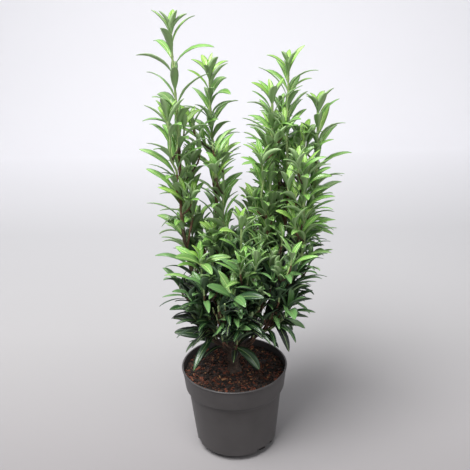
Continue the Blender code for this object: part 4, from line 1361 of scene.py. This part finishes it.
def pot_profile(pot):
    """The pot's section from the middle of its underside, up its outside, over its lip and down its inside.

    The lip is half a circle. The inside has a ledge over the drain slots, whose back stands in from them.
    """
    lip = pot.height - pot.lip_height
    top = pot.rim_radius - pot.lip_reach
    underside = [(share * pot.foot_radius + further * MM, up * MM) for share, further, up in UNDERSIDE]
    chamfer = between((pot.foot_radius, 0.0), (pot.chamfer_radius, pot.chamfer_height), CHAMFER_SHARES)
    taper = between((pot.chamfer_radius, pot.chamfer_height + BEND_SHORT),
                    (pot.shoulder_radius, pot.shoulder_foot), TAPER_SHARES)
    out, rise = pot.band_radius - pot.shoulder_radius, pot.band_foot - pot.shoulder_foot
    step = [(pot.shoulder_radius + across * out, pot.shoulder_foot + up * rise) for across, up in STEP_SHARES]
    band = between((pot.band_radius, pot.band_foot), (top, lip - BEND), BAND_SHARES)
    half = 0.5 * pot.lip_height
    rolled = [(pot.rim_radius - half + half * math.cos(turn), pot.height - half + half * math.sin(turn))
              for turn in np.linspace(-0.5 * math.pi, 0.5 * math.pi, LIP_POINTS)]
    back = pot.foot_radius - pot.drain_depth - pot.wall
    ledge, floor = pot.drain_height + pot.wall, pot.wall + underside[0][1]
    inside = [
        (top - pot.wall, pot.height - BEND_SHORT), (top - pot.wall, lip),
        (pot.band_radius - pot.wall, pot.band_foot + BEND),
        (pot.shoulder_radius - pot.wall, pot.shoulder_foot + BEND),
        (pot.chamfer_radius - pot.wall, ledge), (back, ledge), (back, floor), (0.0, floor),
    ]
    return np.array(underside + chamfer + taper + step + band + rolled + inside)


def add_pot(pot, colours):
    """The pot: its section turned round the axis, with its wall set back at the drain slots.

    A point of the section is at (r cos a, r sin a, z). Within a slot's width of bearing, the points of the
    outside below the slot's top go in to the slot's back, which slants out a little as it rises.
    """
    foot, *turned, floor = pot_profile(pot)
    profile = np.array(turned)
    turns = bearings(POT_SIDES)
    radius, height = (np.repeat(profile[:, axis:axis + 1], POT_SIDES, axis=1) for axis in (0, 1))
    outside = np.arange(len(profile))[:, None] < np.argmax(profile[:, 1] > 0.5 * pot.height)
    low = outside & (height < pot.drain_height) & (radius > pot.foot_radius - pot.drain_depth)
    order = np.cumsum(low, axis=0)
    back = pot.foot_radius - pot.drain_depth + SLOT_BACK_SLANT * order
    sill = profile[0, 1] + SLOT_SILL_SLANT * order
    for pair in range(SLOT_PAIRS):
        bearing = SLOT_BEARING + pair * 2 * math.pi / SLOT_PAIRS
        off = np.abs((turns - bearing + math.pi) % (2 * math.pi) - math.pi)[None, :]
        in_slot = low & (off < SLOT_HALF) & (off > SLOT_RIB_HALF)
        radius = np.where(in_slot, back, radius)
        height = np.where(in_slot, np.maximum(height, sill), height)
    grid = np.stack([radius * np.cos(turns), radius * np.sin(turns), height], axis=-1).reshape(-1, 3)
    points = np.concatenate([grid, [[0.0, 0.0, foot[1]], [0.0, 0.0, floor[1]]]])
    faces = grid_faces(len(profile), POT_SIDES)
    faces += [face[::-1] for face in fan_faces(0, POT_SIDES, len(grid))]
    faces += fan_faces(len(grid) - POT_SIDES, POT_SIDES, len(grid) + 1)
    finishes = [pot_finish(colours, pot.band_foot)]
    piece = add_piece("nursery_pot", points, faces, finishes, "pot")
    piece.data.set_sharp_from_angle(angle=POT_SHARP)


def soil_height(x, y, relief):
    """The soil's height at a place: level at its middle and bumpy outside, as slow and quick waves."""
    places = np.stack([x, y], axis=-1)
    lumps = SOIL_LUMP_SHARE * waves(places, *SOIL_LUMPS) + SOIL_CRUMB_SHARE * waves(places, *SOIL_CRUMBS)
    away = np.clip((np.hypot(x, y) - SOIL_LEVEL_RADIUS) / SOIL_LEVEL_FADE, 0.0, 1.0)
    return SOIL_TOP + relief * lumps * away


def add_soil(mulch, pot, colours):
    """The soil: a disc of rings whose height is the soil's waves, with a side that goes down into the pot."""
    share = (SOIL_TOP - pot.band_foot) / (pot.height - pot.band_foot)
    edge = pot.band_radius + share * (pot.rim_radius - pot.lip_reach - pot.band_radius) - pot.wall - SEAT
    radius = edge * np.linspace(1.0, 0.0, SOIL_RINGS)[:-1, None]
    turns = bearings(SOIL_SIDES)[None, :]
    x, y = radius * np.cos(turns), radius * np.sin(turns)
    top = np.stack([x, y, soil_height(x, y, mulch.relief)], axis=-1)
    depth = np.full(SOIL_SIDES, SOIL_TOP - SOIL_DEPTH)
    foot = np.stack([SOIL_FOOT_SHARE * x[0], SOIL_FOOT_SHARE * y[0], depth], axis=-1)
    rings = np.concatenate([foot[None], top]).reshape(-1, 3)
    points = np.concatenate([rings, [[0.0, 0.0, SOIL_TOP]]])
    faces = grid_faces(SOIL_RINGS, SOIL_SIDES)
    faces += fan_faces(len(rings) - SOIL_SIDES, SOIL_SIDES, len(rings))
    faces.append(lid(0, SOIL_SIDES))
    add_piece("soil_bed", points, faces, [peat_finish(colours)], "soil")
    return edge


def add_chips(mulch, edge, colours):
    """Bark chips: skewed six-sided blocks, turned at random and laid on the soil."""
    count = mulch.chips
    chance = np.random.default_rng(CHIP_SEED)
    radius = (edge - CHIP_EDGE) * np.sqrt(chance.uniform(*CHIP_AREA, count))
    bearing = chance.uniform(0, 2 * math.pi, count)
    x, y = radius * np.cos(bearing), radius * np.sin(bearing)
    length = mulch.chip_length * np.exp(chance.normal(0.0, CHIP_LENGTHS, count))
    width = length * chance.uniform(*CHIP_WIDTHS, count)
    thick = mulch.chip_thickness * np.exp(chance.normal(0.0, CHIP_THICKNESSES, count))
    signs = np.array([(a, b, c) for a in (-1, 1) for b in (-1, 1) for c in (-1, 1)], dtype=float)
    size = np.stack([length, width, thick], axis=1)[:, None] * 0.5
    corners = signs[None] * size * chance.uniform(*CHIP_SKEW, (count, 8, 3))
    yaw, pitch, roll = chance.uniform(0, 2 * math.pi, count), *chance.normal(0.0, CHIP_TILT, (2, count))
    along = np.stack([np.cos(yaw) * np.cos(pitch), np.sin(yaw) * np.cos(pitch), np.sin(pitch)], axis=1)
    level = np.stack([-np.sin(yaw), np.cos(yaw), np.zeros(count)], axis=1)
    aside = np.cos(roll)[:, None] * level + np.sin(roll)[:, None] * np.cross(along, level)
    turned = np.stack([along, aside, np.cross(along, aside)], axis=1)
    lift = soil_height(x, y, mulch.relief) + thick * chance.uniform(*CHIP_LIFT, count)
    placed = np.einsum("ncj,njk->nck", corners, turned) + np.stack([x, y, lift], axis=1)[:, None]
    box = np.array([(0, 1, 3, 2), (4, 6, 7, 5), (0, 4, 5, 1), (2, 3, 7, 6), (0, 2, 6, 4), (1, 5, 7, 3)])
    faces = (np.arange(count)[:, None, None] * len(signs) + box[None]).reshape(-1, 4).tolist()
    kinds = np.repeat(chance.choice(len(CHIP_MIX), count, p=list(CHIP_MIX.values())), len(box))
    finishes = [chip_finish(name, getattr(colours, name)) for name in CHIP_MIX]
    add_piece("bark_chips", placed.reshape(-1, 3), faces, finishes, "soil", kinds, smooth=False)


def add_trunk(bark, colours):
    """The trunk: rings up its leaning axis, with root lobes at its foot and ridges that wander up it.

    Its radius is the rule's flare and taper, plus lobes that fade with height, plus ridged waves.
    """
    shares = np.linspace(0.0, 1.0, TRUNK_RINGS) ** TRUNK_RING_POWER
    heights = SOIL_TOP - TRUNK_SUNK + (TRUNK_HEIGHT + TRUNK_SUNK) * shares
    points = np.array([trunk_axis(height) for height in heights])
    down = np.clip(1.0 - shares / TRUNK_NECK_AT, 0.0, 1.0)
    up = np.clip((shares - TRUNK_NECK_AT) / (1.0 - TRUNK_NECK_AT), 0.0, 1.0)
    radii = TRUNK_NECK_RADIUS + (TRUNK_FLARE_RADIUS - TRUNK_NECK_RADIUS) * down ** TRUNK_FLARE_POWER
    radii = radii + (TRUNK_TOP_RADIUS - TRUNK_NECK_RADIUS) * up
    turns = bearings(TRUNK_SIDES)
    wander = RIDGE_WANDER * np.sin(shares * RIDGE_BENDS)[:, None] + turns[None, :]
    coarse = 1.0 - np.abs(np.sin(wander * RIDGES_COARSE))
    fine = 1.0 - np.abs(np.sin(wander * RIDGES_FINE + RIDGES_FINE_TURN))
    around = np.stack(np.broadcast_arrays(np.cos(turns)[None], np.sin(turns)[None],
                                          BARK_LUMP_STRETCH * shares[:, None]), axis=-1)
    lumps = BARK_LUMP_SHARE * waves(around, *BARK_LUMPS)
    relief = bark.ridges * (coarse + RIDGES_FINE_SHARE * fine - RIDGE_LEVEL + lumps)
    relief = relief + LOBE_HEIGHT * down[:, None] ** 2 * np.cos(LOBES * turns + LOBE_TURN)[None]
    rings = ring_path(points, radii, turns, relief).reshape(-1, 3)
    faces = grid_faces(TRUNK_RINGS, TRUNK_SIDES)
    faces += [lid(0, TRUNK_SIDES), lid(len(rings) - TRUNK_SIDES, TRUNK_SIDES)[::-1]]
    finishes = [bark_finish("trunk_bark", colours.bark, colours.bark_dark, TRUNK_GRAIN)]
    add_piece("trunk_bark", rings, faces, finishes, "trunk")


def add_tubes(name, tubes, sides, finishes, node):
    """Many tubes as one piece, each from its path, its radii, its relief and the finish of each length."""
    turns = bearings(sides)
    points, faces, kinds, start = [], [], [], 0
    for path, radii, relief, lengths in tubes:
        tip = path[-1] + unit(path[-1] - path[-2]) * radii[-1]
        points += [ring_path(path, radii, turns, relief).reshape(-1, 3), tip[None]]
        end = start + (len(path) - 1) * sides
        faces += grid_faces(len(path), sides, start=start) + [lid(start, sides)]
        faces += fan_faces(end, sides, end + sides)
        kinds += np.repeat(lengths, sides).tolist() + [lengths[0]] + [lengths[-1]] * sides
        start = end + sides + 1
    add_piece(name, np.concatenate(points), faces, finishes, node, kinds)


def add_boughs(bark, colours):
    """The boughs: each the bare part of a leader, swollen at the trunk, with fine ridges and rings."""
    finishes = [bark_finish("bough_bark", colours.bark, colours.bark_dark, BOUGH_GRAIN)]
    turns = bearings(BOUGH_SIDES)[None]
    for mass in MASSES:
        path = smoothed(sampled(bough_path(mass), BOUGH_KNOTS), BOUGH_RINGS)
        run = run_lengths(path)[:, None]
        radii = limb_radius(mass, path[:, 2]) * (1.0 + bark.collar * np.exp(-run[:, 0] / COLLAR_REACH))
        ridges = sum(np.sin(count * turns + pace * run + turn) for count, pace, turn in BOUGH_RIDGES)
        rings = np.sin(run * BOUGH_RING_PACE + BOUGH_RING_SWING * np.sin(run * BOUGH_RING_SWAY))
        relief = BOUGH_RIDGE_HEIGHT * ridges + BOUGH_RING_HEIGHT * rings
        tube = (path, radii, relief, np.zeros(len(path) - 1, dtype=int))
        add_tubes("bark_" + mass, [tube], BOUGH_SIDES, finishes, "bough_" + mass)


def stem_tube(name, path, leaves, bark):
    """A leafy stem: a smooth taper that swells under each leaf, brown at its foot and green at its tip."""
    line = smoothed(path, STEM_RINGS)
    if name is None:
        radii = np.linspace(TWIG_FOOT_RADIUS, TWIG_TIP_RADIUS, len(line))
        reach = TWIG_AGES
    else:
        radii = limb_radius(name, line[:, 2])
        reach = LEADER_AGES if name == SHOOTS[name][0] else SHOOT_AGES
    roots = np.array([leaf["root"] for leaf in leaves])
    gaps = np.linalg.norm(line[:, None] - roots[None], axis=2).min(axis=1)
    radii = radii * (1.0 + bark.knuckle * np.exp(-(gaps / KNUCKLE_REACH) ** 2))
    lengths = run_lengths(line)
    below = lengths[-1] - lengths[:-1]
    return line, radii, None, np.where(below < reach[0], 0, np.where(below < reach[1], 1, 2))


def add_stems(bark, colours):
    """The leafy stems and twigs of every mass, one piece to a mass."""
    finishes = [bark_finish("stem_green", colours.stem_green, colours.stem_green, STEM_GRAIN),
                bark_finish("stem_red", colours.stem_red, colours.stem_brown, STEM_GRAIN),
                bark_finish("stem_brown", colours.stem_brown, colours.bark_dark, STEM_GRAIN)]
    for mass, growth in grow_crown().items():
        tubes = [stem_tube(name, path, growth.leaves, bark) for name, path in growth.shoots]
        add_tubes("stems_" + mass, tubes, STEM_SIDES, finishes, "foliage_" + mass)


def tone_of(leaf, chance):
    """Deals a leaf its tone: newer near its stem's tip, darker low in the crown as painted shade, or as its
    whorl has it.
    """
    if "tone" in leaf:
        return leaf["tone"]
    height = leaf["root"][2]
    # Painted shade: each step below a height darkens the leaf by about one tone, more in a crown
    low = clamp((SHADE_TONE_FROM - height) / SHADE_TONE_STEP, 0.0, SHADE_TONE_MOST)
    high = clamp((height - HIGH_FROM) / HIGH_DEPTH)
    rank = leaf["rank"] * (1.0 - HIGH_YOUTH * high)
    if leaf["crown"]:
        age_and_shade = np.interp(rank, range(len(CROWN_AGES)), CROWN_AGES) + SHADE_TONE_CROWN * low
    else:
        most = STEM_MOST - STEM_MOST_HIGH * high + STEM_MOST_RANK * rank
        age_and_shade = min(STEM_AGE + STEM_RANK_AGE * rank + leaf["below"] / STEM_AGE_LENGTH, most) + low
    return int(clamp(age_and_shade + chance.uniform(-AGE_CHANCE - SHADE_TONE_CHANCE * low, AGE_CHANCE), 0, len(TONES) - 1))


def leaf_grid(leaves, sizes, chance):
    """The points of many leaves at once: each a row of rings, then its tip.

    A leaf's midrib is an arc: its slope runs evenly from a = its rise to b = its droop, so at a share s of
    its length it has gone out by (sin c - sin a) / (b - a) lengths and up by (cos a - cos c) / (b - a), where
    c = a + (b - a) s. Across it, a point at u from -1 to 1 lies u half-widths from the midrib, and rises from
    it by fold |u| + bulge at the middle of each half - curl at its edges, in half-widths. A seventh point,
    under the midrib, closes the ring. The half-width is a factor times t ** p (1 - t) ** q, where t is the
    share of the blade.
    """
    count = len(leaves)
    planes = np.array([leaf_plane(leaf["direction"], leaf["turn"]) for leaf in leaves])
    outward, upward = planes[:, None, 0], planes[:, None, 1]
    root = np.array([leaf["root"] for leaf in leaves])[:, None]
    rise, droop, length, roll, below, width = (
        np.array([leaf[key] for leaf in leaves])[:, None]
        for key in ("rise", "droop", "length", "roll", "below", "width"))
    young = np.exp(-below / LEAF_YOUNG_REACH)
    share = np.array(STATIONS)[None]
    bend = np.where(np.abs(droop - rise) < BEND_LEAST, BEND_LEAST, droop - rise)
    slope = rise + bend * share
    out = length * (np.sin(slope) - np.sin(rise)) / bend
    up = length * (np.cos(rise) - np.cos(slope)) / bend
    over = np.cos(slope)[..., None] * upward - np.sin(slope)[..., None] * outward
    flat = np.broadcast_to(np.cross(outward, upward), over.shape)
    turned = (roll + chance.normal(0.0, BLADE_TWIST, (count, 1)) * share)[..., None]
    aside = np.cos(turned) * flat + np.sin(turned) * over
    over = np.cos(turned) * over - np.sin(turned) * flat
    axis = root + out[..., None] * outward + up[..., None] * upward
    axis = axis + flat * (chance.normal(0.0, BLADE_SWEEP, (count, 1)) * length * share ** 2)[..., None]
    blade = np.clip((share - STALK_SHARE) / (1.0 - STALK_SHARE), 0.0, 1.0)
    half = 0.5 * sizes.width * width * length * BLADE_FACTOR
    half = half * blade ** BLADE_FOOT_POWER * (1.0 - blade) ** BLADE_TIP_POWER
    half = np.maximum(half * chance.uniform(*BLADE_WIDTHS, (count, 1)), sizes.petiole * (share < STALK_END))
    rib = np.minimum(sizes.midrib * (1.0 - RIB_TAPER * share), RIB_MOST * half)
    fold = sizes.fold + sizes.young_fold * young + chance.normal(0.0, BLADE_FOLDS, (count, 1))
    phase = chance.uniform(0, 2 * math.pi, (count, 1))
    edge = half * (fold - sizes.curl + BLADE_RIPPLE * np.sin(share * BLADE_RIPPLES + phase))
    middle = half * (0.5 * fold + sizes.bulge)
    keel = -sizes.thickness * np.clip(half / (KEEL_SPAN * length), KEEL_LEAST, 1.0)
    zero = np.zeros_like(half)
    offsets = [(-half, edge), (-0.5 * half, middle), (-rib, zero), (rib, zero), (0.5 * half, middle),
               (half, edge), (zero, keel)]
    columns = [axis + aside * u[..., None] + over * h[..., None] for u, h in offsets]
    grid = np.stack(columns, axis=2)[:, :-1]
    return np.concatenate([grid.reshape(count, -1, 3), axis[:, -1:]], axis=1)


def leaf_faces():
    """One leaf's faces, what each is, and its map: where each point lies across and along the leaf."""
    rings, columns = len(STATIONS) - 1, len(RING_ACROSS)
    faces = grid_faces(rings, columns) + fan_faces((rings - 1) * columns, columns, rings * columns)
    faces.append(lid(0, columns))
    kinds = [1] * columns + list(RING_KINDS) * (rings - 1) + [1]
    maps = np.stack([np.tile(RING_ACROSS, rings), np.repeat(STATIONS[:-1], columns)], axis=1)
    return faces, np.array(kinds), np.concatenate([maps, [[0.0, 1.0]]])


def furled_leaves(name):
    """The tightly folded newest leaves at a stem's tip, which stand almost upright."""
    path = leafy_path(name)
    lengths = run_lengths(path)
    chance = random.Random("furled " + name)
    found = []
    for index in range(FURLED_LEAVES):
        root, direction = point_along(path, lengths, lengths[-1] - FURLED_FIRST - index * FURLED_SPACING)
        length = chance.uniform(*FURLED_LENGTH)
        turn = chance.uniform(0, FURLED_TURN) + index * 2 * math.pi / FURLED_LEAVES
        found.append({"root": root, "direction": direction, "turn": turn, "rise": FURLED_RISE,
                      "droop": FURLED_DROOP, "length": length, "roll": 0.0, "below": 0.0, "crown": True,
                      "rank": 0})
    return found


def add_leaves(sizes, colours):
    """The leaves of every mass, one piece to a mass, their tones dealt out leaf by leaf."""
    tops = [leaf_finish("leaf_" + tone, getattr(colours, tone), *GLOSSES[tone]) for tone in TONES]
    backs = [finish("leaf_" + name, getattr(colours, name), roughness)[0] for name, roughness in (
        ("under_young", UNDER_ROUGHNESS), ("under_old", UNDER_ROUGHNESS),
        ("rib_young", RIB_ROUGHNESS), ("rib_old", RIB_ROUGHNESS))]
    one, one_kinds, one_map = leaf_faces()
    for mass, growth in grow_crown().items():
        chance = random.Random("tones " + mass)
        leaves = growth.leaves + [leaf for name in shoots_of(mass) for leaf in furled_leaves(name)]
        for leaf in leaves:
            low = clamp((WIDTH_LOW_FROM - leaf["root"][2]) / WIDTH_LOW_DEPTH)
            broader = sizes.young_width + sizes.low_width * low if leaf["crown"] else -sizes.old_slim * low
            leaf["width"] = 1.0 + broader
        grid = leaf_grid(leaves, sizes, np.random.default_rng(MASSES.index(mass)))
        tones = np.array([tone_of(leaf, chance) for leaf in leaves])
        old = (tones >= YOUNG_TONES).astype(int)
        choice = np.stack([tones, len(TONES) + 2 + old, len(TONES) + old], axis=1)
        starts = range(0, len(leaves) * grid.shape[1], grid.shape[1])
        faces = [tuple(start + k for k in face) for start in starts for face in one]
        add_piece("leaves_" + mass, grid.reshape(-1, 3), faces, tops + backs, "foliage_" + mass,
                  choice[:, one_kinds].ravel(), maps=np.tile(one_map, (len(leaves), 1)))


def add_stage(settings):
    """The stage: one sheet that runs back as the floor and up as the backdrop, and three soft lights."""
    bend = np.linspace(0.0, 0.5 * math.pi, STAGE_BENDS)
    y = np.concatenate([[STAGE_FRONT], STAGE_DEPTH + STAGE_ROUND * np.sin(bend), [STAGE_DEPTH + STAGE_ROUND]])
    z = np.concatenate([[0.0], STAGE_ROUND * (1.0 - np.cos(bend)), [STAGE_HEIGHT]])
    x = np.array([-0.5 * STAGE_WIDTH, 0.5 * STAGE_WIDTH])
    grid = np.stack(np.broadcast_arrays(x[None], y[:, None], z[:, None]), axis=-1)
    mesh = bpy.data.meshes.new("studio_floor")
    mesh.from_pydata(grid.reshape(-1, 3).tolist(), [], grid_faces(len(y), 2, closed=False))
    mesh.polygons.foreach_set("use_smooth", np.ones(len(mesh.polygons), dtype=bool))
    mesh.materials.append(stage_finish(settings))
    floor = bpy.data.objects.new("studio_floor", mesh)
    bpy.context.scene.collection.objects.link(floor)
    for name, (place, aim, size) in LIGHTS.items():
        add_light(name, place, aim, size, getattr(settings, name))
    world = bpy.data.worlds.new("surround")
    world.use_nodes = True
    background = world.node_tree.nodes["Background"]
    background.inputs["Color"].default_value = SURROUND
    background.inputs["Strength"].default_value = settings.sky
    bpy.context.scene.world = world
    bpy.context.scene.view_settings.view_transform = "Standard"


def add_light(name, place, aim, size, power):
    """A square soft light that looks from its place at its aim."""
    data = bpy.data.lights.new(name, "AREA")
    data.size = size
    data.energy = power
    light = bpy.data.objects.new(name, data)
    light.location = place
    light.rotation_euler = (Vector(aim) - Vector(place)).to_track_quat("-Z", "Y").to_euler()
    bpy.context.scene.collection.objects.link(light)


def add_camera():
    """The camera, placed and turned as the photograph's was."""
    forward = Vector((math.sin(CAMERA_YAW) * math.cos(CAMERA_PITCH),
                      math.cos(CAMERA_YAW) * math.cos(CAMERA_PITCH), -math.sin(CAMERA_PITCH)))
    right = Vector((math.cos(CAMERA_YAW), -math.sin(CAMERA_YAW), 0.0))
    down = forward.cross(right)
    image_right = math.cos(CAMERA_ROLL) * right + math.sin(CAMERA_ROLL) * down
    image_down = math.cos(CAMERA_ROLL) * down - math.sin(CAMERA_ROLL) * right
    data = bpy.data.cameras.new("photograph_view")
    data.sensor_width = CAMERA_SENSOR
    data.lens = CAMERA_LENS
    camera = bpy.data.objects.new("photograph_view", data)
    turned = Matrix((image_right, -image_down, -forward)).transposed().to_4x4()
    camera.matrix_world = Matrix.Translation(CAMERA_PLACE) @ turned
    bpy.context.scene.collection.objects.link(camera)
    bpy.context.scene.camera = camera


class LAUREL_OT_stage(bpy.types.Operator):
    """Adds the floor, the backdrop, the lights and the camera"""

    bl_idname = "laurel.add_stage"
    bl_label = "Stage"

    def execute(self, context):
        add_stage(context.scene.laurel_stage)
        add_camera()
        return {"FINISHED"}


class LAUREL_OT_pot(bpy.types.Operator):
    """Adds the nursery pot"""

    bl_idname = "laurel.add_pot"
    bl_label = "Pot"

    def execute(self, context):
        add_pot(context.scene.laurel_pot, context.scene.laurel_colours)
        return {"FINISHED"}


class LAUREL_OT_mulch(bpy.types.Operator):
    """Adds the soil and the bark chips on it"""

    bl_idname = "laurel.add_mulch"
    bl_label = "Soil and chips"

    def execute(self, context):
        scene = context.scene
        edge = add_soil(scene.laurel_mulch, scene.laurel_pot, scene.laurel_colours)
        add_chips(scene.laurel_mulch, edge, scene.laurel_colours)
        return {"FINISHED"}


class LAUREL_OT_trunk(bpy.types.Operator):
    """Adds the trunk's bark"""

    bl_idname = "laurel.add_trunk"
    bl_label = "Trunk"

    def execute(self, context):
        add_trunk(context.scene.laurel_bark, context.scene.laurel_colours)
        return {"FINISHED"}


class LAUREL_OT_boughs(bpy.types.Operator):
    """Adds the bark of every bough"""

    bl_idname = "laurel.add_boughs"
    bl_label = "Boughs"

    def execute(self, context):
        add_boughs(context.scene.laurel_bark, context.scene.laurel_colours)
        return {"FINISHED"}


class LAUREL_OT_stems(bpy.types.Operator):
    """Adds the leafy stems and twigs"""

    bl_idname = "laurel.add_stems"
    bl_label = "Stems"

    def execute(self, context):
        add_stems(context.scene.laurel_bark, context.scene.laurel_colours)
        return {"FINISHED"}


class LAUREL_OT_leaves(bpy.types.Operator):
    """Adds the leaves"""

    bl_idname = "laurel.add_leaves"
    bl_label = "Leaves"

    def execute(self, context):
        add_leaves(context.scene.laurel_leaf, context.scene.laurel_colours)
        return {"FINISHED"}


GROUPS = {
    "laurel_pot": LaurelPot,
    "laurel_mulch": LaurelMulch,
    "laurel_bark": LaurelBark,
    "laurel_leaf": LaurelLeaf,
    "laurel_colours": LaurelColours,
    "laurel_stage": LaurelStage,
}
OPERATORS = (LAUREL_OT_stage, LAUREL_OT_pot, LAUREL_OT_mulch, LAUREL_OT_trunk, LAUREL_OT_boughs,
             LAUREL_OT_stems, LAUREL_OT_leaves)


class LAUREL_PT_panel(bpy.types.Panel):
    """Lists the sizes, the colours and the pieces of the laurel"""

    bl_idname = "LAUREL_PT_panel"
    bl_label = "Laurel"
    bl_space_type = "VIEW_3D"
    bl_region_type = "UI"
    bl_category = "Laurel"

    def draw(self, context):
        for name, group in GROUPS.items():
            box = self.layout.box()
            box.label(text=group.__name__.removeprefix("Laurel"))
            for key in group.__annotations__:
                box.prop(getattr(context.scene, name), key)
        for operator in OPERATORS:
            self.layout.operator(operator.bl_idname)


def register():
    """Registers the groups of settings, the operators and the panel."""
    for name, group in GROUPS.items():
        bpy.utils.register_class(group)
        setattr(bpy.types.Scene, name, bpy.props.PointerProperty(type=group))
    for operator in OPERATORS:
        bpy.utils.register_class(operator)
    bpy.utils.register_class(LAUREL_PT_panel)


def unregister():
    """Takes everything that register added away again."""
    bpy.utils.unregister_class(LAUREL_PT_panel)
    for operator in reversed(OPERATORS):
        bpy.utils.unregister_class(operator)
    for name, group in GROUPS.items():
        delattr(bpy.types.Scene, name)
        bpy.utils.unregister_class(group)


def main():
    register()
    bpy.ops.laurel.add_stage()
    bpy.ops.laurel.add_pot()
    bpy.ops.laurel.add_mulch()
    bpy.ops.laurel.add_trunk()
    bpy.ops.laurel.add_boughs()
    bpy.ops.laurel.add_stems()
    bpy.ops.laurel.add_leaves()


if __name__ == "__main__":
    main()
